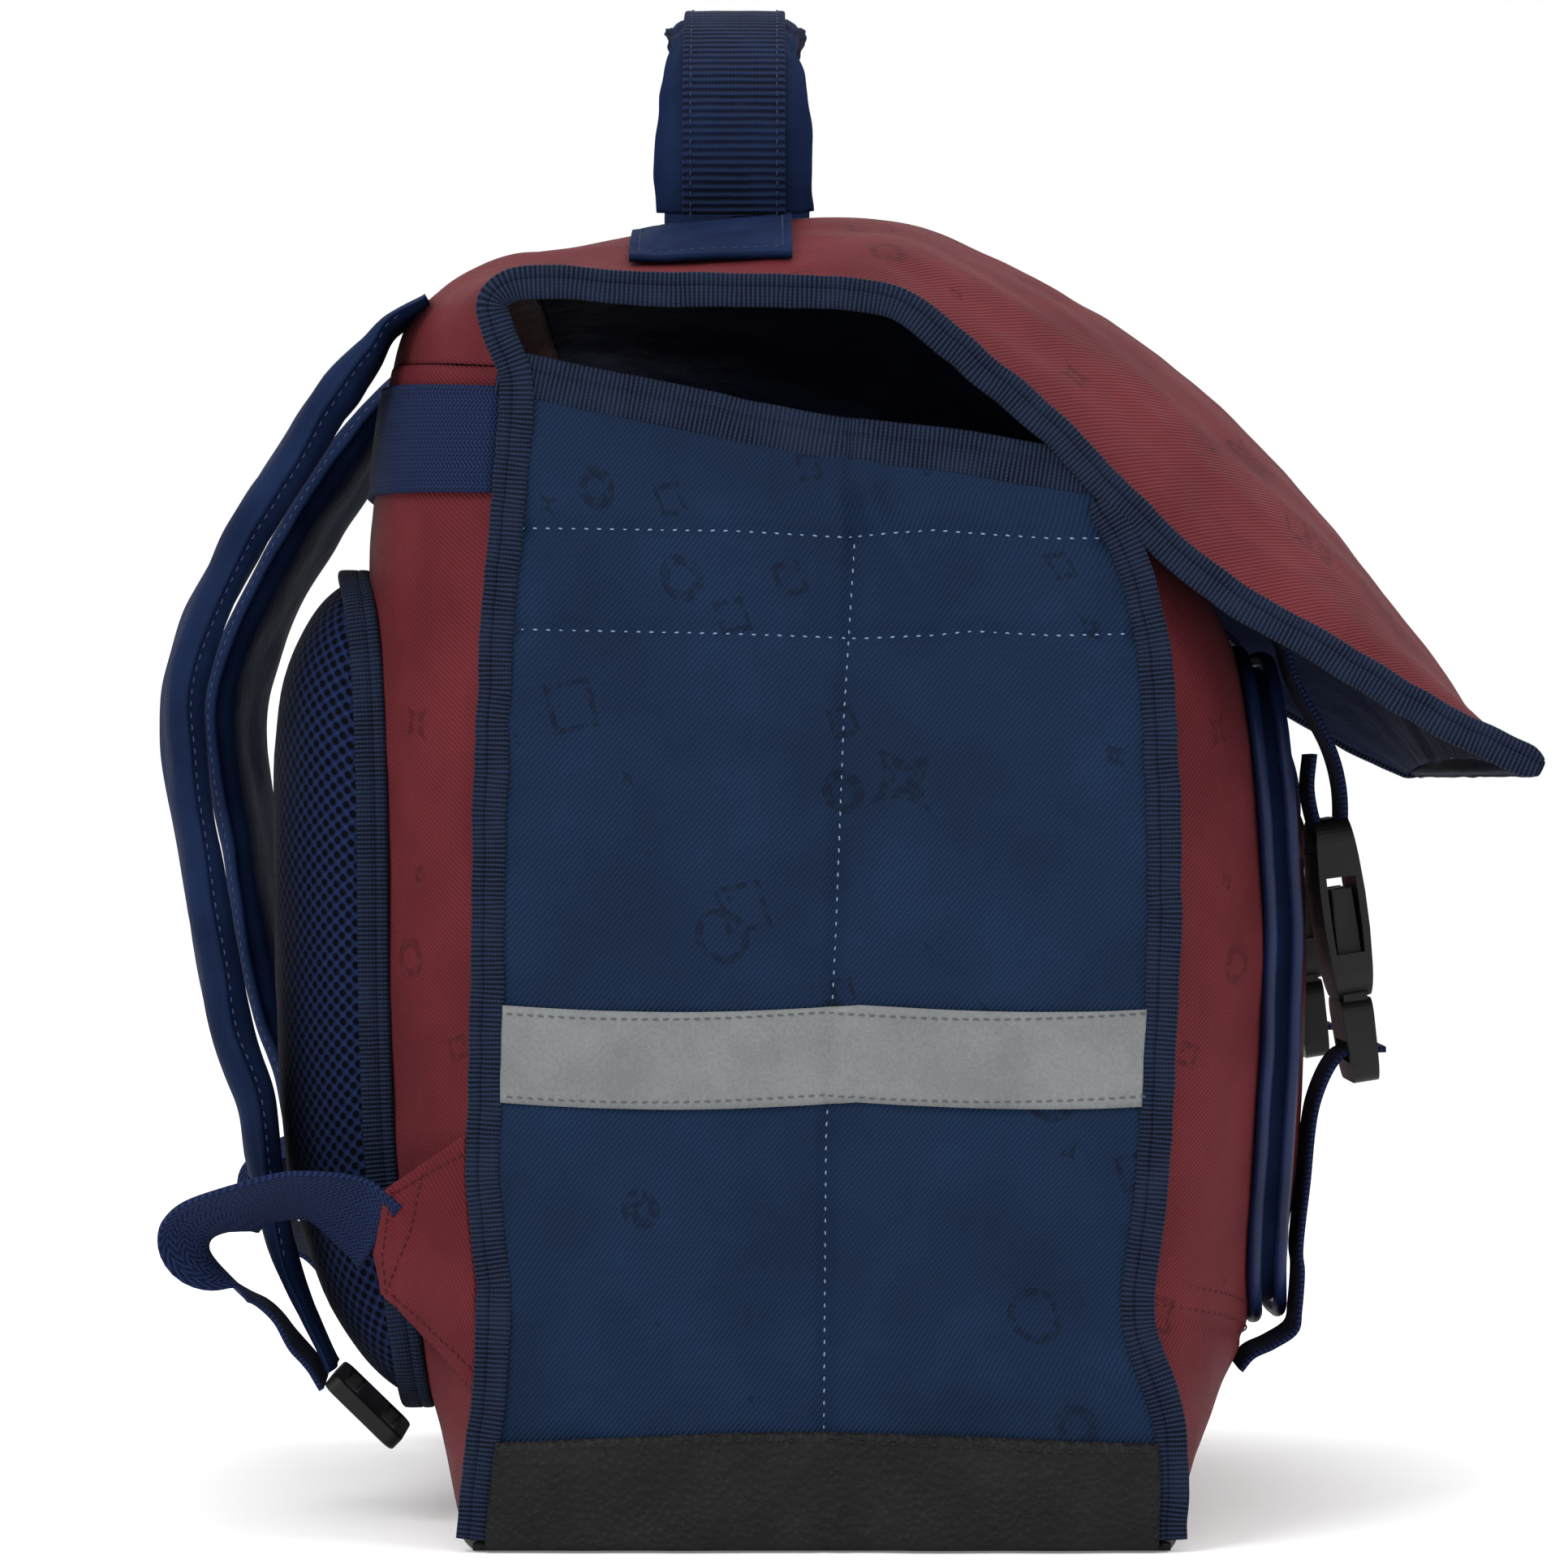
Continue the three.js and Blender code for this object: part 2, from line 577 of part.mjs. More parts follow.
// Each strap's middle line. Beyond the back seam, out is a share of the bulge and off a share of the pad's
// thickness; up is a share of the way from the pad's foot to the top seam.
const STRAP = table("out off up wide thick", [
  [0.78, 0, 0.9845, 0.95, 0.3],
  [0.92, 0, 0.9614, 1, 0.4],
  [1.1, 0, 0.9338, 1, 0.7],
  [1.3, 0, 0.8984, 1, 0.95],
  [1.2825, 0.25, 0.8642, 1, 1],
  [1.305, 0.5, 0.8244, 1, 1],
  [1.38, 0.8, 0.7571, 1, 1],
  [1.45, 1, 0.6909, 1, 1],
  [1.53, 1, 0.6368, 1, 1],
  [1.5, 1, 0.565, 1, 1],
  [1.4, 1, 0.4954, 1, 1],
  [1.3, 1, 0.4159, 1, 1],
  [1.17, 1, 0.3409, 1, 1],
  [1.02, 1, 0.2834, 1, 1],
  [0.95, 1, 0.2205, 0.97, 0.9],
  [0.83, 1, 0.1487, 0.8, 0.6],
  [0.64, 1, 0.0847, 0.62, 0.35],
  [0.45, 1, 0.0345, 0.55, 0.3],
]);
const STRAP_SLANT = 0.14; // its outer edge lies nearer to the back

// The webbing from the tab, out in a loose loop and back to the adjuster.
// aside is a share of the way from the strap to the side, and lean its width's angle from level, in degrees.
const LOOP = table("out off aside up lean", [
  [0.72, 0, 0.6425, 0.1565, 72],
  [0.95, 0, 0.6015, 0.183, 56],
  [1.095, 0.3, 0.5908, 0.2006, 30],
  [1.27, 0.6, 0.5865, 0.1918, 28],
  [1.23, 1, 0.5003, 0.1741, 34],
  [1.3, 1, 0.3323, 0.1465, 24],
  [1.15, 1, 0.1858, 0.1156, 10],
  [0.89, 1, 0.0997, 0.0869, 5],
  [0.73, 1, 0.0458, 0.0604, 0],
  [0.59, 1, 0.0157, 0.0383, 0],
  [0.51, 1, 0.0092, 0.0218, 0],
]);
const ADJUSTER_END = { out: 0.43, off: 1, up: 0.0308 }; // its top end
const ADJUSTER_TURN = 0.8; // radians down from level
const ADJUSTER_SLOT = 0.27; // each slot's place from its middle, share of its length
const ADJUSTER_CORNER = 4;
const SLOT_HEIGHT = 4.6;
const SLOT_SPARE = 1.5; // a slot is this much longer than the webbing is wide
const TAB_LOW = 0.125;
const TAB_HIGH = 0.33;

const rad = (degrees) => (degrees * Math.PI) / 180;
const beyondBack = (row) => -HALF_DEPTH - row.out * BACK_BULGE - row.off * PAD_THICK;
const upBack = (row) => lerp(PAD_BOTTOM, HEIGHT, row.up);

function box(x, y, z, sizeX, sizeY, sizeZ) {
  return new THREE.BoxGeometry(sizeX, sizeY, sizeZ).translate(x, y, z);
}

function roundedPlate(width, length, thick, radius) {
  const [w, h] = [width / 2, length / 2];
  const shape = new THREE.Shape();
  shape.moveTo(-w + radius, -h);
  shape.absarc(w - radius, -h + radius, radius, -Math.PI / 2, 0);
  shape.absarc(w - radius, h - radius, radius, 0, Math.PI / 2);
  shape.absarc(-w + radius, h - radius, radius, Math.PI / 2, Math.PI);
  shape.absarc(-w + radius, -h + radius, radius, Math.PI, 1.5 * Math.PI);
  const settings = { depth: thick, bevelEnabled: false, curveSegments: 4 };
  return new THREE.ExtrudeGeometry(shape, settings).translate(0, 0, -thick / 2);
}

function strapRoute(side) {
  return smooth(STRAP.map((r) => at(beyondBack(r), side * STRAP_Y, upBack(r))));
}

function loopRoute(side) {
  const y = (row) => side * lerp(STRAP_Y, HALF_WIDTH, row.aside);
  return smooth(LOOP.map((r) => at(beyondBack(r), y(r), upBack(r))));
}

function loopWidth(side, share) {
  const lean = rad(alongRows(LOOP, share, "lean"));
  return at(0, side * Math.cos(lean), Math.sin(lean));
}

const STRAP_STEPS = 22;
const LOOP_STEPS = 20;
const TAB_SEAM_INSET = 2; // the tab's sewn edge, in from the panel's edge

function addStraps() {
  for (const [word, side] of Object.entries(SIDES)) {
    const size = (share) => ({
      wide: STRAP_WIDTH * alongRows(STRAP, share, "wide"),
      thick: STRAP_THICK * alongRows(STRAP, share, "thick"),
    });
    const slant = (_, i) => at(STRAP_SLANT * Math.sin((Math.PI * i) / STRAP_STEPS) ** 0.5, side, 0);
    const strap = sweep(sample(strapRoute(side), 0, 1, STRAP_STEPS), PADDED, slant, size);
    add("shoulder_strap_" + word, strap, NAVY_SATIN);

    const loop = sample(loopRoute(side), 0, 1, LOOP_STEPS);
    const loopSize = { wide: WEBBING_WIDTH, thick: WEBBING };
    const across = (_, i) => loopWidth(side, i / LOOP_STEPS);
    add("strap_webbing_" + word, sweep(loop, FLAT, across, loopSize), NAVY_TAPE);

    const tip = loopRoute(side).getPoint(0);
    const tabFace = (u, v) => {
      const y = PANEL_Y - TAB_SEAM_INSET;
      const z = lerp(TAB_LOW, TAB_HIGH, v) * HEIGHT;
      const seam = at(backX(y, z) - BACK_LIFT - CLOTH, side * y, z);
      const end = tip.clone().addScaledVector(loopWidth(side, 0), (v - 0.5) * WEBBING_WIDTH);
      const back = tip.clone().sub(loopRoute(side).getPoint(0.02)).setLength(BACK_LIFT);
      return seam.lerp(end.add(back), u);
    };
    const clear = { wide: WEBBING_WIDTH + 2 * GAP, thick: WEBBING + 2 * GAP };
    const tools = [sweep(loop, FLAT, across, clear), backTrim()];
    const tab = cut(sheet(tabFace, 3, 4, CLOTH, 0, side), tools);
    add("strap_tab_" + word, tab, RED_TWILL);

    const plate = roundedPlate(ADJUSTER_WIDTH, ADJUSTER_LENGTH, ADJUSTER_THICK, ADJUSTER_CORNER);
    const slots = [-ADJUSTER_SLOT, ADJUSTER_SLOT].map((share) =>
      box(0, share * ADJUSTER_LENGTH, 0, WEBBING_WIDTH + SLOT_SPARE, SLOT_HEIGHT, 2 * ADJUSTER_THICK),
    );
    const adjuster = add("strap_adjuster_" + word, cut(plate, slots), BLACK_PLASTIC);
    const centre = ADJUSTER_LENGTH / 2;
    adjuster.rotation.set(Math.PI / 2 - ADJUSTER_TURN, 0, Math.PI / 2, "ZXY");
    adjuster.position.set(
      beyondBack(ADJUSTER_END) + centre * Math.cos(ADJUSTER_TURN),
      side * STRAP_Y,
      upBack(ADJUSTER_END) - centre * Math.sin(ADJUSTER_TURN),
    );
  }
}

// The carry handle stands up: a padded strap with webbing along its outside.
const HANDLE = table("y z wide", [
  [-1, 0, 1],
  [-1.05, 0.22, 1],
  [-1.02, 0.46, 0.95],
  [-0.9, 0.7, 0.84],
  [-0.64, 0.9, 0.8],
  [-0.3, 0.985, 0.92],
  [0, 1, 0.92],
]);

const HANDLE_FOOT = 1.9; // its middle line's ends above the patches
const HANDLE_STEPS = 20;

function addHandle() {
  const foot = topZ(HANDLE_X, -HANDLE_HALF_SPAN) + BACK_LIFT + PATCH_THICK + HANDLE_FOOT;
  const rise = topZ(HANDLE_X, 0) + HANDLE_RISE - foot;
  const half = HANDLE.map((r) => at(HANDLE_X, r.y * HANDLE_HALF_SPAN, foot + r.z * rise));
  const mirrored = half.slice(0, -1).reverse().map((p) => at(p.x, -p.y, p.z));
  const curve = smooth([...half, ...mirrored]);
  const route = sample(curve, 0, 1, HANDLE_STEPS);
  const size = (share) => {
    const wide = HANDLE_WIDTH * alongRows(HANDLE, 1 - Math.abs(2 * share - 1), "wide");
    return { wide, thick: HANDLE_THICK };
  };
  const lengthwise = () => at(1, 0, 0);
  add("handle", sweep(route, PADDED, lengthwise, size), NAVY_SATIN);

  const lift = HANDLE_THICK / 2 + GAP + WEBBING / 2;
  const outside = route.map((p, i) => {
    const [before, after] = [route[Math.max(0, i - 1)], route[Math.min(HANDLE_STEPS, i + 1)]];
    const direction = after.clone().sub(before).normalize();
    return p.clone().add(at(0, -direction.z, direction.y).multiplyScalar(lift));
  });
  const webbing = sweep(outside, FLAT, lengthwise, { wide: WEBBING_WIDTH, thick: WEBBING });
  add("handle_webbing", webbing, NAVY_TAPE);

  for (const [word, side] of Object.entries(SIDES)) {
    const face = (u, v) => {
      const x = PATCH_X + (u - 0.5) * HANDLE_WIDTH;
      const y = side * lerp(PATCH_START, PATCH_END, v);
      return at(x, y, topZ(x, y));
    };
    const patch = sheet(face, 3, 4, PATCH_THICK, PATCH_THICK, side);
    add("handle_patch_" + word, cut(patch, [flapTrim()]), NAVY_SATIN);
  }
}

// The front pocket: an open-backed dish with a piping round its foot and one round its face
const POCKET_CORNERS = 24;
const PIPING_CORNERS = 36;
const POCKET_ROUNDNESS = 0.36;

function pipingRing(grow, height) {
  const points = outline(
    POCKET_HALF_WIDTH + grow,
    POCKET_BOTTOM - grow,
    POCKET_TOP + grow,
    POCKET_ROUNDNESS,
    PIPING_CORNERS,
  );
  const route = points.map(({ y, z }) => at(frontX(y, z) + height, y, z));
  return sweep(route, CORD, () => at(1, 0, 0), { wide: PIPING, thick: PIPING }, true);
}

const POCKET_RINGS = table("share drop", [
  [0.2, 0],
  [0.5, 0],
  [0.75, 0],
  [0.92, 0.7],
  [0.97, 2.2],
]);
const FACE_PIPING = { grow: 0.2, drop: 0.6 };

function addPocket() {
  const middle = (POCKET_TOP + POCKET_BOTTOM) / 2;
  const points = outline(
    POCKET_HALF_WIDTH,
    POCKET_BOTTOM,
    POCKET_TOP,
    POCKET_ROUNDNESS,
    POCKET_CORNERS,
  );
  const face = POCKET_DEPTH + BACK_LIFT;
  const wall = CLOTH / POCKET_HALF_WIDTH;
  const outer = [...POCKET_RINGS.map((r) => [r.share, face - r.drop]), [1, 0]];
  const inner = outer.map(([r, height]) => [r - wall, Math.max(0, height - CLOTH)]).reverse();
  const rings = ringsOver(points, middle, frontX, 1, [...outer, ...inner]);
  add("front_pocket", cut(loft(rings), [frontTrim()]), RED_TWILL);

  const grown = outer.map(([r, height]) => [r + GAP / POCKET_HALF_WIDTH, height]);
  const pocket = loft(ringsOver(points, middle, frontX, 1, grown));
  const footRing = pipingRing(PIPING / 2, BACK_LIFT + PIPING / 2);
  const faceRing = pipingRing(FACE_PIPING.grow, face - FACE_PIPING.drop);
  add("pocket_piping_outer", cut(footRing, [pocket, frontTrim()]), NAVY_SATIN);
  add("pocket_piping_inner", cut(faceRing, [pocket]), NAVY_SATIN);
}

// A side-release buckle. In its own frame x is out from the bag, z up, and the origin is its top middle.
const BAR = 4; // height of the bar that the webbing goes round
const BAR_THICK = 5;
const SLOT = 6;
const CAVITY_START = 14;
const CAVITY_WIDE = 34;
const CAVITY_THICK = 8.6;
const WINDOW_START = 17;
const WINDOW_END = 39;
const MALE_LENGTH = 24;
const MALE_THICK = 9;
const TONGUE_THICK = 7;
const FIT = 0.4; // between male and female

function upright(plate) {
  return plate.applyMatrix4(new THREE.Matrix4().makeBasis(at(0, 1, 0), at(0, 0, 1), at(1, 0, 0)));
}

function femaleBuckle() {
  const block = upright(roundedPlate(BUCKLE_WIDTH, BUCKLE_LENGTH, BUCKLE_THICK, 7));
  block.translate(0, 0, -BUCKLE_LENGTH / 2);
  const depth = BUCKLE_LENGTH - CAVITY_START + 1;
  const opening = WEBBING_WIDTH + SLOT_SPARE;
  const shelf = (BUCKLE_THICK - BAR_THICK) / 2 + 1;
  const shelfX = BAR_THICK / 2 + shelf / 2;
  const windowMiddle = -(WINDOW_START + WINDOW_END) / 2;
  return cut(block, [
    box(0, 0, -CAVITY_START - depth / 2, CAVITY_THICK, CAVITY_WIDE, depth),
    box(0, 0, windowMiddle, CAVITY_THICK, 2 * BUCKLE_WIDTH, WINDOW_END - WINDOW_START),
    box(0, 0, -BAR - SLOT / 2, 2 * BUCKLE_THICK, opening, SLOT),
    box(shelfX, 0, -BAR / 2, shelf, opening, BAR + 2),
    box(-shelfX, 0, -BAR / 2, shelf, opening, BAR + 2),
  ]);
}

function maleBuckle() {
  const top = -BUCKLE_LENGTH - FIT;
  const plate = upright(roundedPlate(BUCKLE_WIDTH - 1, MALE_LENGTH, MALE_THICK, 5));
  plate.translate(0, 0, top - MALE_LENGTH / 2);
  const reach = BUCKLE_LENGTH - WINDOW_START - 3;
  const prongWide = 5;
  const prongY = CAVITY_WIDE / 2 - FIT - prongWide / 2;
  const tongues = [-prongY, 0, prongY].map((y) =>
    box(0, y, top + reach / 2 - 1, TONGUE_THICK, y === 0 ? 8 : prongWide, reach + 2),
  );
  const whole = join([plate, ...tongues]);
  const slotZ = top - MALE_LENGTH + 6 + SLOT / 2;
  return cut(whole, [box(0, 0, slotZ, 2 * MALE_THICK, WEBBING_WIDTH + SLOT_SPARE, SLOT)]);
}

// From buckle frame to the bag's frame
function buckleX() {
  const face = frontX(BUCKLE_Y, BUCKLE_TOP) + BACK_LIFT + POCKET_DEPTH;
  return face + BUCKLE_CLEARANCE + BUCKLE_THICK / 2;
}

function fromBuckle(x, y, z) {
  const [c, s] = [Math.cos(BUCKLE_TILT), Math.sin(BUCKLE_TILT)];
  return at(buckleX() + x * c - z * s, y, BUCKLE_TOP + x * s + z * c);
}

const ROUND_BAR = BAR_THICK / 2 + WEBBING / 2 + GAP + 0.2; // webbing off the bar's middle
const UNDER_BAR = -BAR - WEBBING / 2 - GAP - 1.8;
const MALE_SLOT = -BUCKLE_LENGTH - FIT - MALE_LENGTH + 6 + SLOT / 2;
const PROUD = BACK_LIFT + POCKET_DEPTH + GAP + WEBBING / 2 + 1.2; // webbing off the front, on the pocket
const OVER_PIPING = BACK_LIFT + POCKET_DEPTH + PIPING / 2 + GAP + WEBBING / 2;

// The webbing from the flap: down to the pocket, then through the buckle's top and back up as a short tail
const FLAP_STRAP_DOWN = table("z off", [
  [0.835, 6],
  [0.79, 6],
  [0.755, 9],
  [0.732, OVER_PIPING + 1.5],
  [0.695, OVER_PIPING + 1.5],
]);
const FLAP_STRAP_TURN = table("x z", [
  [3.2, 20],
  [ROUND_BAR + 0.8, 9],
  [ROUND_BAR, -1],
  [ROUND_BAR - 1.2, UNDER_BAR + 1.1],
  [0, UNDER_BAR],
  [-ROUND_BAR + 1.2, UNDER_BAR + 1.1],
  [-ROUND_BAR, -1],
  [-ROUND_BAR - 0.6, 9],
  [-2.4, 19],
]);
const FLAP_STRAP_START = 3.15; // under the flap's lining
const FLAP_STRAP_STEPS = 42;

function flapStrap(y) {
  const down = FLAP_STRAP_DOWN.map((r) => {
    const z = r.z * HEIGHT;
    return at(frontX(BUCKLE_Y, z) + r.off, y, z);
  });
  const startX = down[0].x - 1;
  const lining = topZ(startX, BUCKLE_Y + WEBBING_WIDTH / 2) - CLOTH - LINING;
  const turn = FLAP_STRAP_TURN.map((r) => fromBuckle(r.x, y, r.z));
  const curve = smooth([at(startX, y, lining - FLAP_STRAP_START), ...down, ...turn]);
  return sample(curve, 0, 1, FLAP_STRAP_STEPS);
}

// The webbing from the buckle's male half: down the pocket's face, over the piping and onto the front
const FRONT_STRAP_HANG = table("share off", [
  [0.5, PROUD],
  [0.25, PROUD],
  [0.19, PROUD + 1],
]);
const FRONT_STRAP_FOOT = table("z off", [
  [3, OVER_PIPING + 0.6],
  [-2.5, OVER_PIPING + 0.2],
  [-7, OVER_PIPING - 5],
  [-10, 3.4],
  [-14, 2.2],
]);
const FRONT_STRAP_STEPS = 24;

function frontStrap(y) {
  const onFront = (z, off) => at(frontX(BUCKLE_Y, z) + off, y, z);
  const slot = fromBuckle(0, y, MALE_SLOT);
  const over = fromBuckle(MALE_THICK / 2 + 2.5, y, MALE_SLOT - 0.6);
  const inside = fromBuckle(-MALE_THICK / 2 - 1.2, y, MALE_SLOT - 0.8);
  const hang = FRONT_STRAP_HANG.map((r) => onFront(lerp(POCKET_BOTTOM, slot.z, r.share), r.off));
  const foot = FRONT_STRAP_FOOT.map((r) => onFront(POCKET_BOTTOM + r.z, r.off));
  const curve = smooth([over, slot, inside, onFront(slot.z - 14, PROUD + 1.5), ...hang, ...foot]);
  return sample(curve, 0, 1, FRONT_STRAP_STEPS);
}

function addBuckles() {
  const size = { wide: WEBBING_WIDTH, thick: WEBBING };
  const halves = { buckle_female_: femaleBuckle(), buckle_male_: maleBuckle() };
  for (const [word, side] of Object.entries(SIDES)) {
    const y = side * BUCKLE_Y;
    for (const [name, geometry] of Object.entries(halves)) {
      const piece = add(name + word, geometry.clone(), BLACK_PLASTIC);
      piece.position.set(buckleX(), y, BUCKLE_TOP);
      piece.rotation.y = -BUCKLE_TILT;
    }
    add("flap_strap_" + word, sweep(flapStrap(y), FLAT, () => ACROSS, size), NAVY_TAPE);
    add("front_strap_" + word, sweep(frontStrap(y), FLAT, () => ACROSS, size), NAVY_TAPE);
  }
}

// The tape over the flap's hem
function addHem() {
  const reach = PANEL_Y - 0.2;
  const end = leftEdge.getPoint(1);
  const along = end.clone().sub(leftEdge.getPoint(0.995)).normalize();
  const middle = end.clone().addScaledVector(along, GAP + TAPE_THICK / 2 + 0.4);
  const route = Array.from({ length: 9 }, (_, i) => middle.clone().setY(lerp(-reach, reach, i / 8)));
  const size = { wide: TAPE_THICK, thick: TAPE_THICK + 1.5 };
  add("hem_binding", sweep(route, TAPE, () => along, size), NAVY_TAPE);
}

addSides();
addShell();
addBackPad();
addBand();
addStraps();
addHandle();
addPocket();
addBuckles();
addHem();

export default group;
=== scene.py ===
"""School ransel seen from its side: every soft piece as a fine mesh in procedural cloth.

Metres. +X is the bag's front, -Y the near side, +Z up. A piece whose name has a dot takes the place of the
frame's node that is named before the dot; the others are rows of stitches.
"""
import math

import bmesh
import bpy
import numpy as np
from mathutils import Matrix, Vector, noise


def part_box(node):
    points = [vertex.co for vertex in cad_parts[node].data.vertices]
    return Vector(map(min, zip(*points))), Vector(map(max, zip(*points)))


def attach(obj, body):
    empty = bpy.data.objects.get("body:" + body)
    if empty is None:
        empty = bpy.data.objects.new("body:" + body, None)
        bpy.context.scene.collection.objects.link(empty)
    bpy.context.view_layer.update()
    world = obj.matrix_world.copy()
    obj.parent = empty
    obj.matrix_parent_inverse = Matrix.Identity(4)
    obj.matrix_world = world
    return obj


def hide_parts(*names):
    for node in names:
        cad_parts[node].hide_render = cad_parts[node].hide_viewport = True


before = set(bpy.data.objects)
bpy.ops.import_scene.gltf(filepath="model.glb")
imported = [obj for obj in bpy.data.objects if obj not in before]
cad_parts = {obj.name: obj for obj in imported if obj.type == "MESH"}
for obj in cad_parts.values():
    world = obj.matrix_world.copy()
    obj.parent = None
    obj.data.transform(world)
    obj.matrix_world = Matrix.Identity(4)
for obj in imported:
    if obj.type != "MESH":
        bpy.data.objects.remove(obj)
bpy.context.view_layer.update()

MM = 0.001
BODY = "root"
SIDES = {"left": -1, "right": 1}

# Sizes read from the frame
HALF_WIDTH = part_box("edge_binding_right")[1][1]
TAPE_THICK = HALF_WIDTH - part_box("edge_binding_right")[0][1]
PANEL_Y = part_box("back_panel")[1][1]
SIDE_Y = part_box("side_panel_right")[1][1]

# Sizes that the frame's boxes don't give
DEPTH = 186 * MM  # back seam to front seam
HEIGHT = 350 * MM  # floor to the top seam
BACK_BULGE = 40 * MM
FRONT_BULGE = 38 * MM
CROWN = 48 * MM
FLAP_OVERHANG = 103 * MM
FAR_SLACK = 15.5 * MM  # how much lower the flap's right edge hangs over the mouth than its left one
SIDE_DENT = 5 * MM
CLOTH = 1.8 * MM
LINING = 1.2 * MM
GAP = 0.3 * MM
TAPE_WIDTH = 9.5 * MM
HALF_DEPTH = DEPTH / 2

# The shell's two cross-sections, at the seams and at the middle. x is a share of half the depth, over of the
# flap's overhang, z of the height, out of the back's bulge, fore and rise of the crown.
WRAP = np.array([
    # x, over, z, out, fore, rise, power
    (-1.04, 0, 0.009, 0.18, 0, 0, 5),
    (-1.02, 0, 0.06, 0.35, 0, 0, 5),
    (-0.99, 0, 0.13, 0.6, 0, 0, 5),
    (-0.98, 0, 0.205, 0.78, 0, 0, 5),
    (-1.01, 0, 0.29, 0.83, 0, 0, 5),
    (-1.0, 0, 0.39, 0.92, 0, 0, 5),
    (-0.99, 0, 0.58, 0.98, 0, 0, 5),
    (-0.965, 0, 0.745, 1.07, 0, 0, 5),
    (-0.93, 0, 0.845, 1.1, 0, 0.05, 5),
    (-0.915, 0, 0.93, 1.03, 0, 0.08, 5),
    (-0.965, 0, 0.968, 0.8, 0, 0.16, 4.5),
    (-0.98, 0, 0.99, 0.45, 0, 0.26, 4),
    (-0.92, 0, 1.004, 0.12, 0, 0.33, 3.5),
    (-0.8, 0, 1.006, 0, 0, 0.37, 3.2),
    (-0.5, 0, 1.001, 0, 0, 0.52, 3),
    (-0.15, 0, 1.0, 0, 0, 0.61, 3),
    (0.17, 0, 0.994, 0, 0.05, 0.67, 3),
    (0.27, 0, 0.983, 0, 0.08, 0.71, 3),
    (0.44, 0, 0.946, 0, 0.19, 0.8, 2.9),
    (0.7, 0, 0.888, 0, 0.31, 0.92, 2.7),
    (0.94, 0, 0.821, 0, 0.44, 1.0, 2.6),
    (1, 0.17, 0.764, 0, 0.47, 0.94, 2.6),
    (1, 0.485, 0.709, 0, 0.31, 0.75, 2.6),
    (1, 0.77, 0.659, 0, 0.19, 0.43, 2.6),
    (1, 1, 0.626, 0, 0.02, 0.06, 2.6),
])
FRONT = np.array([
    # x, z, out, power
    (1.043, 0.009, 0.16, 5),
    (1.047, 0.071, 0.36, 5),
    (1.027, 0.114, 0.58, 5),
    (0.98, 0.15, 0.87, 5),
    (0.946, 0.188, 1.0, 5),
    (0.986, 0.29, 1.0, 5),
    (1.014, 0.416, 1.0, 5),
    (1.026, 0.497, 0.98, 5),
    (1.01, 0.651, 0.88, 5),
    (0.97, 0.747, 0.7, 4.5),
    (0.903, 0.8, 0.46, 4),
    (0.812, 0.84, 0.24, 4),
])
WRAP_ROWS = len(WRAP) - 1
BACK_END = 9.2 / WRAP_ROWS
CORNER = 11 / WRAP_ROWS
BACK_ROWS = 13  # rows of WRAP from the foot to the top of the back
FLAP_START = BACK_END + 0.001


def smooth(points, t):
    """Points at t, 0 to 1, on a centripetal curve through the given ones."""
    points = np.asarray(points, float)
    padded = np.vstack([2 * points[0] - points[1], points, 2 * points[-1] - points[-2]])
    place = np.clip(np.asarray(t, float), 0, 1) * (len(points) - 1)
    i = np.minimum(np.floor(place).astype(int), len(points) - 2)
    w = (place - i)[..., None]
    p0, p1, p2, p3 = (padded[i + k] for k in range(4))
    d0, d1, d2 = (np.maximum(np.linalg.norm(b - a, axis=-1, keepdims=True), 1e-8) ** 0.5
                  for a, b in ((p0, p1), (p1, p2), (p2, p3)))
    m1 = ((p1 - p0) / d0 - (p2 - p0) / (d0 + d1) + (p2 - p1) / d1) * d1
    m2 = ((p2 - p1) / d1 - (p3 - p1) / (d1 + d2) + (p3 - p2) / d2) * d1
    return (p1 + m1 * w + (3 * (p2 - p1) - 2 * m1 - m2) * w ** 2
            + (2 * (p1 - p2) + m1 + m2) * w ** 3)


def column(rows, values, t):
    return np.interp(np.asarray(t) * (len(rows) - 1), np.arange(len(rows)), values)


zero = np.zeros(len(WRAP))
wrap_x = WRAP[:, 0] * HALF_DEPTH + WRAP[:, 1] * FLAP_OVERHANG
WRAP_EDGE = np.stack([wrap_x, zero, WRAP[:, 2] * HEIGHT], 1)
ROW_SLACK = {14: 0.35, 15: 0.9, 16: 1, 17: 1, 18: 0.5}  # shares of FAR_SLACK, by row of WRAP
RIGHT_EDGE = WRAP_EDGE.copy()
for row, share in ROW_SLACK.items():
    RIGHT_EDGE[row, 2] -= share * FAR_SLACK
WRAP_MIDDLE = WRAP_EDGE + np.stack([WRAP[:, 4] * CROWN - WRAP[:, 3] * BACK_BULGE, zero, WRAP[:, 5] * CROWN], 1)
FRONT_EDGE = np.stack([FRONT[:, 0] * HALF_DEPTH, zero[:len(FRONT)], FRONT[:, 1] * HEIGHT], 1)
FRONT_MIDDLE = FRONT_EDGE + np.outer(FRONT[:, 2] * FRONT_BULGE, (1, 0, 0))


def shell(rows, edge, middle, t, y):
    t, y = np.broadcast_arrays(np.asarray(t, float), np.asarray(y, float))
    full = 1 - np.minimum(1, np.abs(y) / PANEL_Y) ** column(rows, rows[:, -1], t)
    low, high = smooth(edge, t), smooth(middle, t)
    if edge is WRAP_EDGE:
        low = np.where((y > 0)[..., None], smooth(RIGHT_EDGE, t), low)
    point = low + (high - low) * full[..., None]
    point[..., 1] = y
    return point


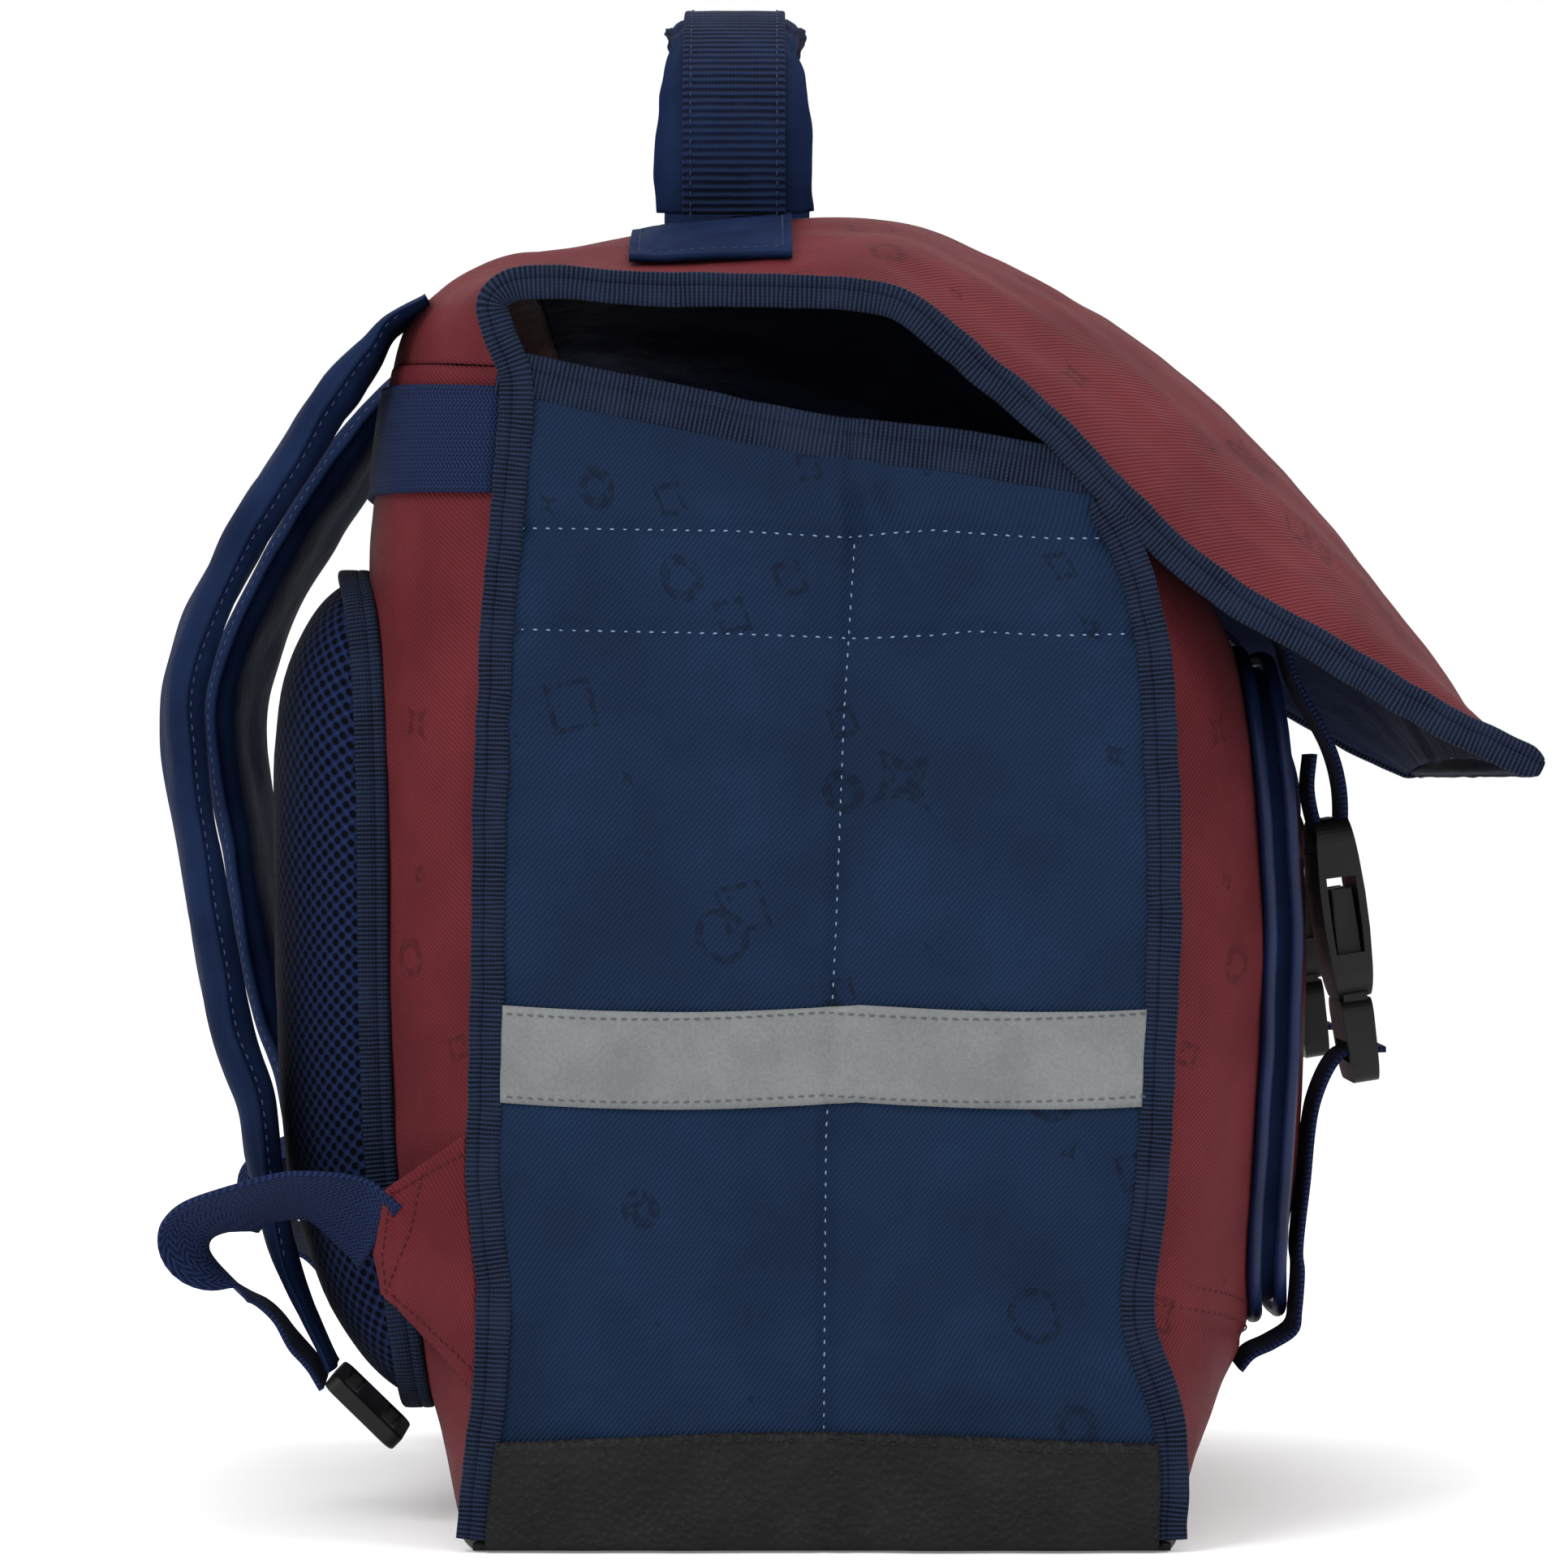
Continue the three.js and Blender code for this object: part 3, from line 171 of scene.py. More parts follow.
def wrap_at(t, y):
    return shell(WRAP, WRAP_EDGE, WRAP_MIDDLE, t, y)


def front_at(t, y):
    return shell(FRONT, FRONT_EDGE, FRONT_MIDDLE, t, y)


def lookup(at, axis, out, low, high):
    """A function that gives the surface's coordinate out where its coordinate axis and y are known."""
    ts = np.linspace(low, high, 300)
    ys = np.linspace(0, PANEL_Y, 60)
    grid = at(ts[:, None], -ys[None, :])
    values = np.linspace(grid[..., axis].min(), grid[..., axis].max(), 400)
    order = 1 if grid[-1, 0, axis] > grid[0, 0, axis] else -1
    table = np.stack([np.interp(values, grid[::order, j, axis], grid[::order, j, out])
                      for j in range(len(ys))], 1)

    def find(y, value):
        y, value = np.broadcast_arrays(np.abs(np.asarray(y, float)), np.asarray(value, float))
        a = np.clip((value - values[0]) / (values[1] - values[0]), 0, len(values) - 1.001)
        b = np.clip(y / (ys[1] - ys[0]), 0, len(ys) - 1.001)
        i, j = a.astype(int), b.astype(int)
        u, v = a - i, b - j
        return ((table[i, j] * (1 - u) + table[i + 1, j] * u) * (1 - v)
                + (table[i, j + 1] * (1 - u) + table[i + 1, j + 1] * u) * v)
    return find


back_x = lookup(wrap_at, 2, 0, 0, CORNER)
front_x = lookup(front_at, 2, 0, 0, 1)
top_z = lookup(wrap_at, 0, 2, CORNER + 0.04, 1)


def seam_x(edge, z):
    points = smooth(edge, np.linspace(0, 1, 400))
    return np.interp(z, points[:, 2], points[:, 0])


def bumps(points, size, seed, octaves=2):
    """Smooth noise of about -1 to 1 at each point, with lumps of the given size (one, or one per axis)."""
    flat = np.asarray(points).reshape(-1, 3) / np.asarray(size) + seed * 7.31
    values = [noise.fractal(Vector(p), 1.0, 2.0, octaves) for p in flat]
    return np.array(values).reshape(np.shape(points)[:-1])


def uneven(points, seed, *layers):
    """Layers of noise on top of each other, each a height in millimetres and a size."""
    return sum(high * MM * bumps(points, size, seed + k) for k, (high, size) in enumerate(layers))


def ridge(off, width):
    """1 on a line, falling smoothly to nothing at about twice the width off it."""
    return np.exp(-(off / width) ** 2)


def rise(value, reach):
    """0 at 0 and below, 1 from reach on."""
    return np.clip(value / reach, 0, 1)


def unit(vectors):
    return vectors / np.maximum(np.linalg.norm(vectors, axis=-1, keepdims=True), 1e-12)


def heading(route):
    return unit(np.gradient(route, axis=0))


def lengths(points):
    steps = np.linalg.norm(np.diff(points, axis=0), axis=1)
    return np.concatenate([[0], np.cumsum(steps)])


def even(points, step):
    """A line's points again, evenly spaced."""
    along = lengths(points)
    count = max(2, int(round(along[-1] / step)) + 1)
    places = np.linspace(0, along[-1], count)
    return np.stack([np.interp(places, along, points[:, k]) for k in range(3)], 1)


# Mesh building
def placed(name, data):
    made = bpy.data.objects.new(name, data)
    bpy.context.scene.collection.objects.link(made)
    return made


def piece(name, shape, material):
    """A new piece of the bag. Its shape is points, faces and a UV in metres for each point."""
    points, faces, uv = shape
    mesh = bpy.data.meshes.new(name)
    mesh.from_pydata(points.tolist(), [], faces)
    layer = mesh.uv_layers.new(name="UVMap")
    corners = np.empty(len(mesh.loops), int)
    mesh.loops.foreach_get("vertex_index", corners)
    layer.data.foreach_set("uv", np.asarray(uv, np.float32)[corners].ravel())
    mesh.polygons.foreach_set("use_smooth", [True] * len(mesh.polygons))
    mesh.materials.append(material)
    made = placed(name, mesh)
    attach(made, BODY)
    if "." in name:
        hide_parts(name.split(".")[0])
    return made


def outward(points, faces):
    """Faces turned so that the closed body has a positive volume."""
    points = np.asarray(points)
    fans = [(f[0], f[i], f[i + 1]) for f in faces for i in range(1, len(f) - 1)]
    a, b, c = (points[k] for k in np.array(fans).T)
    volume = np.einsum("ij,ij->", a, np.cross(b, c))
    return [f[::-1] for f in faces] if volume < 0 else faces


def grid_normals(p):
    du, dv = np.gradient(p, axis=0), np.gradient(p, axis=1)
    return unit(np.cross(du, dv))


def sheet(p, wall, lift=0.0, flip=1, relief=0.0):
    """A closed sheet of cloth from a grid of points on its face, the wall behind it."""
    rows, columns = p.shape[0] - 1, p.shape[1] - 1
    n = grid_normals(p) * flip
    relief = np.broadcast_to(np.asarray(relief, float), p.shape[:2])[..., None]
    front = p + n * (lift + relief)
    behind = p + n * (lift + relief - wall)
    points = np.concatenate([front.reshape(-1, 3), behind.reshape(-1, 3)])
    index = np.arange((rows + 1) * (columns + 1)).reshape(rows + 1, columns + 1)
    back = index + index.size
    quads = []
    for side, turned in ((index, False), (back, True)):
        a, b, c, d = side[:-1, :-1], side[1:, :-1], side[1:, 1:], side[:-1, 1:]
        order = (a, d, c, b) if turned else (a, b, c, d)
        quads += np.stack([k.ravel() for k in order], 1).tolist()
    rim = np.concatenate([index[:, 0], index[-1, 1:], index[-2::-1, -1], index[0, -2:0:-1]])
    hidden = np.concatenate([back[:, 0], back[-1, 1:], back[-2::-1, -1], back[0, -2:0:-1]])
    count = len(rim)
    quads += [(rim[i], hidden[i], hidden[(i + 1) % count], rim[(i + 1) % count]) for i in range(count)]
    across = lengths(p[rows // 2])
    along = lengths(p[:, columns // 2])
    uv = np.stack(np.broadcast_arrays(across[None, :], along[:, None]), -1).reshape(-1, 2)
    quads = [tuple(int(k) for k in q) for q in quads]
    return points, outward(points, quads), np.concatenate([uv, uv])


def loft(rings, closed=False, across=None):
    """Rings of points joined one to the next, closed to a loop or capped at both ends."""
    rings = np.asarray(rings)
    count, around = rings.shape[:2]
    index = np.arange(count * around).reshape(count, around)
    after = np.roll(index, -1, 0) if closed else index[1:]
    here = index if closed else index[:-1]
    a, b = here, np.roll(here, -1, 1)
    c, d = np.roll(after, -1, 1), after
    faces = [tuple(q) for q in np.stack([k.ravel() for k in (a, b, c, d)], 1).tolist()]
    if not closed:
        faces += [tuple(index[0][::-1].tolist()), tuple(index[-1].tolist())]
    along = lengths(rings.mean(1))
    if across is None:
        girth = lengths(rings[count // 2])
        across = np.minimum(girth, girth[-1] - girth)
    uv = np.stack(np.broadcast_arrays(across[None, :], along[:, None]), -1).reshape(-1, 2)
    points = rings.reshape(-1, 3)
    return points, outward(points, faces), uv


def sweep(route, section, across, wide, thick, closed=False):
    """A section carried along a route; across is the way its width lies."""
    route = np.asarray(route, float)
    section = np.asarray(section, float)
    if closed:
        direction = unit(np.roll(route, -1, 0) - np.roll(route, 1, 0))
    else:
        direction = heading(route)
    across = np.broadcast_to(np.asarray(across, float), route.shape)
    face = unit(np.cross(across, direction))
    width = np.cross(direction, face)
    wide = np.broadcast_to(np.asarray(wide, float), len(route))[:, None, None]
    thick = np.broadcast_to(np.asarray(thick, float), len(route))[:, None, None]
    rings = (route[:, None] + width[:, None] * (section[None, :, :1] * wide / 2)
             + face[:, None] * (section[None, :, 1:2] * thick / 2))
    flat = section[:, 0] * float(wide.max()) / 2
    return loft(rings, closed, flat)


def oval(corners, power):
    angles = (np.arange(corners) + 0.5) * 2 * math.pi / corners
    return np.stack([np.sign(f) * np.abs(f) ** power for f in (np.cos(angles), np.sin(angles))], 1)


def mirrored(half):
    """A section from the points of its upper face, from its +1 edge to its -1 edge."""
    half = list(half)
    return np.array(half + [(a, -b) for a, b in half[-2:0:-1]])


# Bound tape has a row of stitching sunk in both of its faces, nearer to its inner edge.
TAPE = mirrored([(1, 0), (0.97, 0.6), (0.86, 0.92), (0.6, 1), (0.36, 0.96), (0.26, 0.6), (0.16, 0.96),
                 (-0.2, 1), (-0.6, 1), (-0.86, 0.92), (-0.97, 0.6), (-1, 0)])
WEBBING_SECTION = mirrored([(1, 0), (0.985, 0.75), (0.93, 1), (0.8, 0.86), (0.4, 1), (0, 0.96), (-0.4, 1),
                            (-0.8, 0.86), (-0.93, 1), (-0.985, 0.75), (-1, 0)])
CORD = oval(16, 1)
STITCH_LIFT = 0.1 * MM
# One stitch: shares of half its length, of its radius, and of that radius as a depth
STITCH = ((-1, 0.3, -1.1), (-0.8, 0.8, -0.3), (-0.3, 1, 0), (0.3, 1, 0), (0.8, 0.8, -0.3), (1, 0.3, -1.1))


def stitches(name, path, normal, material, pitch=2.9 * MM, long=1.7 * MM, wide=0.5 * MM):
    """A row of sewn stitches, each a short rounded thread that dips into the cloth at its ends."""
    path = np.asarray(path, float)
    normal = np.broadcast_to(np.asarray(normal, float), path.shape)
    along = lengths(path)
    places = np.linspace(0, along[-1], max(2, int(round(along[-1] / pitch)) + 1))
    path, normal = (np.stack([np.interp(places, along, k[:, i]) for i in range(3)], 1) for k in (path, normal))
    normal = unit(normal)
    direction = heading(path)
    points, faces, uvs = [], [], []
    for k, (centre, along, up) in enumerate(zip(path, direction, normal)):
        side = np.cross(along, up)
        turn = 0.12 * math.sin(12.9 * k)
        along = unit(along + turn * side)
        rings = []
        for share, radius, sink in STITCH:
            middle = centre + along * share * long / 2 + up * (STITCH_LIFT + sink * wide / 2)
            rings.append([middle + (side * math.cos(a) + up * math.sin(a)) * radius * wide / 2
                          for a in np.arange(6) * math.pi / 3])
        made, quads, uv = loft(rings)
        faces += [tuple(i + k * len(made) for i in q) for q in quads]
        points.append(made)
        uvs.append(uv)
    piece(name, (np.concatenate(points), faces, np.concatenate(uvs)), material)


def linear(colour):
    """A colour of 0 to 255 in sRGB as the shader's own numbers."""
    return tuple(c / 255 / 12.92 if c / 255 <= 0.04045 else ((c / 255 + 0.055) / 1.055) ** 2.4
                 for c in colour) + (1.0,)


class Finish:
    """A material's node tree, with short ways to add to it. Texture scales are per metre of cloth."""

    def __init__(self, name, roughness, sheen=0.0, specular=0.4):
        self.material = bpy.data.materials.new(name)
        self.material.use_nodes = True
        self.tree = self.material.node_tree
        self.shader = self.tree.nodes["Principled BSDF"]
        settings = {"Roughness": roughness, "Specular IOR Level": specular, "Sheen Weight": sheen,
                    "Sheen Roughness": 0.4}
        for key, value in settings.items():
            self.shader.inputs[key].default_value = value
        self.uv = self.node("ShaderNodeTexCoord").outputs["UV"]
        self.place = self.node("ShaderNodeTexCoord").outputs["Object"]

    def node(self, kind, inputs=None, **attributes):
        made = self.tree.nodes.new(kind)
        for key, value in attributes.items():
            setattr(made, key, value)
        for key, value in (inputs or {}).items():
            if isinstance(value, bpy.types.NodeSocket):
                self.tree.links.new(value, made.inputs[key])
            else:
                made.inputs[key].default_value = value
        return made

    def math(self, operation, a, b=0.0, clamp=False):
        made = self.node("ShaderNodeMath", {0: a, 1: b}, operation=operation, use_clamp=clamp)
        return made.outputs[0]

    def times(self, a, b):
        return self.math("MULTIPLY", a, b)

    def turned(self, angle, scale=(1, 1, 1)):
        inputs = {"Vector": self.uv, "Rotation": (0, 0, angle), "Scale": scale}
        return self.node("ShaderNodeMapping", inputs).outputs[0]

    def wave(self, pitch, direction="X", source=None, distortion=0.0):
        scale = math.pi / 10 / pitch
        inputs = {"Vector": source or self.uv, "Scale": scale, "Distortion": distortion}
        return self.node("ShaderNodeTexWave", inputs, bands_direction=direction).outputs["Fac"]

    def noise(self, size, detail=2.0, source=None):
        inputs = {"Vector": source or self.place, "Scale": 1 / size, "Detail": detail}
        return self.node("ShaderNodeTexNoise", inputs).outputs["Fac"]

    def voronoi(self, size, randomness=1.0, source=None, **attributes):
        inputs = {"Vector": source or self.uv, "Scale": 1 / size, "Randomness": randomness}
        return self.node("ShaderNodeTexVoronoi", inputs, **attributes)

    def ramp(self, value, low, high):
        inputs = {"Value": value, "From Min": low, "From Max": high}
        return self.node("ShaderNodeMapRange", inputs, clamp=True).outputs[0]

    def mix(self, share, first, second):
        """A blend of two colours, each a socket or three numbers of 0 to 255 in sRGB."""
        ends = [c if isinstance(c, bpy.types.NodeSocket) else linear(c) for c in (first, second)]
        return self.node("ShaderNodeMix", {0: share, 6: ends[0], 7: ends[1]}, data_type="RGBA").outputs[2]

    def colour(self, value):
        self.tree.links.new(value, self.shader.inputs["Base Color"])

    def rough(self, value, low, high):
        made = self.node("ShaderNodeMapRange", {"Value": value, "To Min": low, "To Max": high})
        self.tree.links.new(made.outputs[0], self.shader.inputs["Roughness"])

    def bump(self, *heights):
        """Each height is a value and how far it stands out, in metres."""
        normal = None
        for value, distance in heights:
            made = self.node("ShaderNodeBump", {"Height": value, "Distance": distance, "Strength": 1.0})
            if normal:
                self.tree.links.new(normal, made.inputs["Normal"])
            normal = made.outputs[0]
        self.tree.links.new(normal, self.shader.inputs["Normal"])


def tonal_print(f):
    """Rings, diamonds and four-pointed stars, loosely scattered and broken up like a worn print."""
    marks = None
    for size, metric, radius, thin, keep, turn in (
        (0.031, "EUCLIDEAN", 0.22, 0.035, 0.5, 0.3),
        (0.034, "MANHATTAN", 0.26, 0.035, 0.5, 1.1),
        (0.037, "MINKOWSKI", 0.42, 0.16, 0.45, 0.7),
        (0.026, "EUCLIDEAN", 0.0, 0.055, 0.6, 2.0),
    ):
        cells = f.voronoi(size, 0.6, f.turned(turn), distance=metric)
        if metric == "MINKOWSKI":
            cells.inputs["Exponent"].default_value = 0.5
        off = f.math("ABSOLUTE", f.math("SUBTRACT", cells.outputs["Distance"], radius))
        line = f.math("LESS_THAN", off, thin)
        chosen = f.node("ShaderNodeSeparateColor", {0: cells.outputs["Color"]}).outputs[0]
        line = f.times(line, f.math("GREATER_THAN", chosen, keep))
        marks = line if marks is None else f.math("MAXIMUM", marks, line)
    worn = f.ramp(f.noise(0.003, 3.0, f.uv), 0.38, 0.56)
    return f.times(marks, worn)


def twill(name, colour, shade, light, print_share):
    """Shell cloth: fine diagonal ribs, soft creases and the faint print."""
    f = Finish(name, 0.6, sheen=0.015, specular=0.07)
    weave = f.wave(1.15 * MM, "X", f.turned(0.9), 0.5)
    threads = f.times(f.wave(0.6 * MM, "X"), f.wave(0.6 * MM, "Y"))
    tone = f.mix(f.ramp(f.noise(0.03, 4.0), 0.35, 0.68), colour, light)
    tone = f.mix(f.times(weave, 0.45), tone, shade)
    tone = f.mix(f.times(tonal_print(f), print_share), tone, shade)
    f.colour(tone)
    f.rough(f.noise(0.02), 0.55, 0.68)
    creases = f.noise(0.028, 2.0, f.turned(0.5, (1, 0.35, 1)))
    f.bump((weave, 0.22 * MM), (threads, 0.07 * MM), (f.noise(0.011, 3.0), 0.3 * MM), (creases, 1.6 * MM))
    return f.material


def ribbed(name, colour, light, pitch=1.3 * MM, depth=0.42 * MM):
    """Woven tape: ribs across its width, each broken up by the warp; its colour adds painted highlight on the
    crests and painted shade in the grooves.
    """
    f = Finish(name, 0.8, sheen=0.02, specular=0.05)
    rib = f.wave(pitch, "Y", f.uv, 0.6)
    warp = f.wave(1.0 * MM, "X", f.uv, 0.4)
    height = f.math("ADD", f.times(rib, 0.65), f.times(f.times(rib, warp), 0.5))
    worn = f.ramp(f.noise(0.014, 3.0), 0.4, 0.75)
    # Painted light: the rib height turns the colour into painted shade in the grooves and painted highlight on
    # the crests.
    tone = f.mix(f.ramp(height, 0.1, 1.05), colour, light)
    tone = f.mix(f.times(worn, 0.3), tone, light)
    f.colour(tone)
    f.bump((height, depth), (f.noise(0.0025, 2.0), 0.14 * MM))
    return f.material


def webbing_cloth(name, colour, light):
    """Belt webbing: fine herringbone in narrow bands, coloured with painted shade in the grooves and painted
    highlight on the raised threads.
    """
    f = Finish(name, 0.75, sheen=0.02, specular=0.05)
    place = f.node("ShaderNodeSeparateXYZ", {0: f.uv})
    zigzag = f.math("PINGPONG", place.outputs[0], 2.4 * MM)
    slanted = f.math("ADD", place.outputs[1], f.times(zigzag, 0.9))
    rib = f.math("SINE", f.times(slanted, 2 * math.pi / (1.5 * MM)))
    warp = f.math("SINE", f.times(place.outputs[0], 2 * math.pi / (1.2 * MM)))
    height = f.math("ADD", f.times(rib, 0.36), f.times(warp, 0.14))
    # Painted light: the thread height turns the colour into painted shade low down and painted highlight on
    # top.
    tone = f.mix(f.ramp(height, -0.45, 0.5), colour, light)
    f.colour(tone)
    f.bump((height, 0.3 * MM), (f.noise(0.003, 2.0), 0.12 * MM))
    return f.material


def air_mesh(name, colour, hole_shade, light):
    """Spacer mesh: staggered round holes in a padded knit; the holes are painted dark as shade and the knit
    between them gets a painted highlight.
    """
    f = Finish(name, 0.85, sheen=0.02, specular=0.04)
    lattice = f.voronoi(3.2 * MM, 0.0, f.turned(math.pi / 4), distance="EUCLIDEAN").outputs["Distance"]
    solid = f.ramp(lattice, 0.26, 0.4)
    # Painted shade: the holes, which the bump sinks, take the near-black hole colour.
    tone = f.mix(solid, hole_shade, colour)
    # Painted highlight: the knit farthest from the holes is lightened.
    tone = f.mix(f.times(f.ramp(lattice, 0.45, 0.7), 0.6), tone, light)
    f.colour(tone)
    f.bump((solid, 0.7 * MM), (f.wave(0.5 * MM, "X"), 0.06 * MM))
    return f.material


def satin(name, colour, light, roughness, specular, crease=1.1 * MM):
    """Smooth lining cloth with small creases."""
    f = Finish(name, roughness, specular=specular)
    fine = f.times(f.wave(0.5 * MM, "X"), f.wave(0.5 * MM, "Y"))
    tone = f.mix(f.ramp(f.noise(0.03, 3.0), 0.35, 0.7), colour, light)
    f.colour(tone)
    f.rough(f.noise(0.015), roughness - 0.06, roughness + 0.1)
    f.bump((fine, 0.05 * MM), (f.noise(0.012, 3.0), crease))
    return f.material


def leatherette(name, colour, light):
    f = Finish(name, 0.55, specular=0.16)
    grain = f.voronoi(1.9 * MM, 1.0, f.place).outputs["Distance"]
    fine = f.noise(0.8 * MM, 3.0)
    tone = f.mix(f.ramp(f.noise(0.02, 3.0), 0.35, 0.7), colour, light)
    f.colour(tone)
    f.rough(fine, 0.45, 0.65)
    f.bump((grain, 0.75 * MM), (fine, 0.2 * MM))
    return f.material


def reflective(name, colour, dark):
    f = Finish(name, 0.5, specular=0.25)
    speckle = f.noise(0.9 * MM, 2.0)
    patchy = f.noise(0.02, 4.0)
    spots = f.times(f.ramp(speckle, 0.35, 0.7), 0.6)
    share = f.math("ADD", spots, f.ramp(patchy, 0.4, 0.8), clamp=True)
    f.colour(f.mix(share, colour, dark))
    f.rough(speckle, 0.35, 0.6)
    f.bump((speckle, 0.08 * MM), (patchy, 0.4 * MM))
    return f.material


def plastic(name, colour, light):
    f = Finish(name, 0.4, specular=0.22)
    fine = f.noise(0.6 * MM, 2.0)
    f.colour(f.mix(f.ramp(f.noise(0.012, 3.0), 0.4, 0.75), colour, light))
    f.rough(f.noise(0.008, 3.0), 0.34, 0.55)
    f.bump((fine, 0.05 * MM))
    return f.material


def thread(name, colour):
    f = Finish(name, 0.6, specular=0.2)
    twist = f.wave(0.4 * MM, "Y", f.turned(0.6))
    f.colour(f.mix(f.times(twist, 0.35), colour, [c * 0.6 for c in colour]))
    f.bump((twist, 0.06 * MM))
    return f.material


RED = twill("red_twill", (88, 28, 34), (46, 13, 18), (102, 36, 42), 0.5)
NAVY = twill("navy_twill", (15, 32, 57), (6, 13, 26), (20, 40, 68), 0.55)
LINING_CLOTH = satin("navy_lining", (17, 23, 44), (22, 29, 52), 0.8, 0.02, 2 * MM)
# Tapes and webbings: the first colour shows in the grooves between ribs as painted shade, the second on the
# crests as painted highlight.
TAPE_CLOTH = ribbed("navy_tape", (8, 12, 21), (37, 48, 72))
WEBBING_CLOTH = webbing_cloth("navy_webbing", (9, 15, 33), (30, 42, 78))
COARSE_WEBBING = ribbed("coarse_webbing", (7, 12, 25), (28, 41, 72), 2.3 * MM, 0.6 * MM)
# Mesh: the second colour is painted shade in its holes, the third a painted highlight on the knit between
# them.
MESH_CLOTH = air_mesh("navy_mesh", (19, 29, 60), (4, 6, 12), (36, 50, 88))
SATIN = satin("navy_satin", (14, 24, 48), (22, 35, 64), 0.62, 0.02)
BLACK_LEATHER = leatherette("black_leatherette", (10, 10, 12), (19, 19, 21))
GREY = reflective("grey_reflective", (110, 113, 113), (96, 98, 99))
PIPING_CLOTH = satin("navy_piping", (13, 23, 52), (22, 36, 74), 0.35, 0.2, 0.4 * MM)
BLACK = plastic("black_plastic", (8, 8, 9), (15, 15, 17))
PALE_THREAD = thread("pale_thread", (122, 142, 172))
NAVY_THREAD = thread("navy_thread", (26, 38, 66))
STRAP_THREAD = thread("strap_thread", (52, 66, 98))
GREY_THREAD = thread("grey_thread", (84, 86, 90))
BLACK_THREAD = thread("black_thread", (28, 28, 31))
RED_THREAD = thread("red_thread", (66, 14, 22))


# Camera, floor and lights
PIXEL = 0.225 * MM  # a pixel of the photograph, on the bag's near side
PHOTO_MIDDLE = 1012
PHOTO_FLOOR = 1912
WHITE = (1, 1, 1, 1)
FLOOR_REACH = 12.0
LIT_POINT = Vector((0, 0, 0.22))
LIGHTS = (
    # name, place, size, power
    ("key", (-1.3, -1.5, 1.8), 0.9, 30),
    ("fill", (1.6, -1.4, 0.9), 1.0, 8),
    ("top", (0.3, 0.1, 2.1), 1.2, 18),
)


def seen(points):
    """X and Z of points of the photograph, on the bag's near side."""
    return np.array([((x - PHOTO_MIDDLE) * PIXEL, (PHOTO_FLOOR - y) * PIXEL) for x, y in points])


def add_camera():
    data = bpy.data.cameras.new("camera")
    data.lens = 121.7
    data.sensor_width = 36
    made = placed("camera", data)
    made.location = (-10.35 * MM, -1610 * MM, 212.85 * MM)
    made.rotation_euler = (math.pi / 2, 0, 0)
    bpy.context.scene.camera = made


def add_light(name, place, size, power):
    data = bpy.data.lights.new(name, "AREA")
    data.size = size
    data.energy = power
    made = placed(name, data)
    made.location = place
    made.rotation_euler = (LIT_POINT - Vector(place)).to_track_quat("-Z", "Y").to_euler()


def add_stage():
    floor = Finish("floor", 0.8, specular=0.1)
    floor.colour(floor.mix(floor.noise(0.5), (238.6,) * 3, (239.8,) * 3))
    floor.shader.inputs["Emission Color"].default_value = WHITE
    floor.shader.inputs["Emission Strength"].default_value = 0.16
    mesh = bpy.data.meshes.new("floor")
    corners = [(-1, -1), (1, -1), (1, 1), (-1, 1)]
    mesh.from_pydata([(x * FLOOR_REACH, y * FLOOR_REACH, 0) for x, y in corners], [], [(0, 1, 2, 3)])
    mesh.materials.append(floor.material)
    made = placed("floor", mesh)
    made.location.z = -0.5 * MM
    world = bpy.data.worlds.new("studio")
    world.use_nodes = True
    background = world.node_tree.nodes["Background"].inputs
    background["Color"].default_value = WHITE
    background["Strength"].default_value = 1.0
    bpy.context.scene.world = world
    for light in LIGHTS:
        add_light(*light)
    bpy.context.scene.view_settings.view_transform = "Standard"


add_camera()
add_stage()


# The shell
LINING_START = 0.2  # share of the flap's length
FRONT_SEAM = 0.188  # the front's lower seam, a share of the height
SEAM_DIP = 22 * MM


def grid(rows, columns):
    return np.linspace(0, 1, rows + 1)[:, None], np.linspace(0, 1, columns + 1)[None, :]


def across_panel(v):
    return (2 * v - 1) * PANEL_Y


def from_sides(p, reach, least=0.15):
    """1 over a panel's middle, falling within reach of its two side edges."""
    return np.clip((PANEL_Y - np.abs(p[..., 1])) / reach, least, 1)


def flap_relief(p):
    """Long soft folds that run from the handle to the hem."""
    folds = uneven(p, 3, (1.5, (0.11, 0.024, 0.11)), (0.45, 0.018))
    return folds * (0.25 + 0.75 * from_sides(p, 14 * MM, 0))


def seam_dip(y):
    """How far the front's lower seam sinks towards the middle."""
    return SEAM_DIP * (1 - np.abs(y / PANEL_Y) ** 1.5)


def add_shell():
    u, v = grid(110, 84)
    p = wrap_at(u * BACK_END, across_panel(v))
    relief = uneven(p, 1, (0.9, 0.05), (0.3, 0.016)) * from_sides(p, 10 * MM)
    piece("back_panel.cloth", sheet(p, CLOTH, 0, 1, relief), RED)

    u, v = grid(170, 96)
    p = wrap_at(FLAP_START + (1 - FLAP_START) * u, across_panel(v))
    piece("flap.cloth", sheet(p, CLOTH, 0, 1, flap_relief(p)), RED)

    u = LINING_START + (1 - LINING_START) * u
    p = wrap_at(FLAP_START + (1 - FLAP_START) * u, across_panel(v))
    piece("flap_lining.cloth", sheet(p, LINING, -CLOTH - GAP, 1, flap_relief(p)), LINING_CLOTH)

    u, v = grid(96, 84)
    p = front_at(u, across_panel(v))
    seam = ridge(p[..., 2] - FRONT_SEAM * HEIGHT + seam_dip(p[..., 1]), 2.2 * MM)
    relief = uneven(p, 5, (0.7, 0.045), (0.25, 0.014)) * from_sides(p, 10 * MM) - 1.0 * MM * seam
    piece("front_panel.cloth", sheet(p, CLOTH, 0, -1, relief), RED)


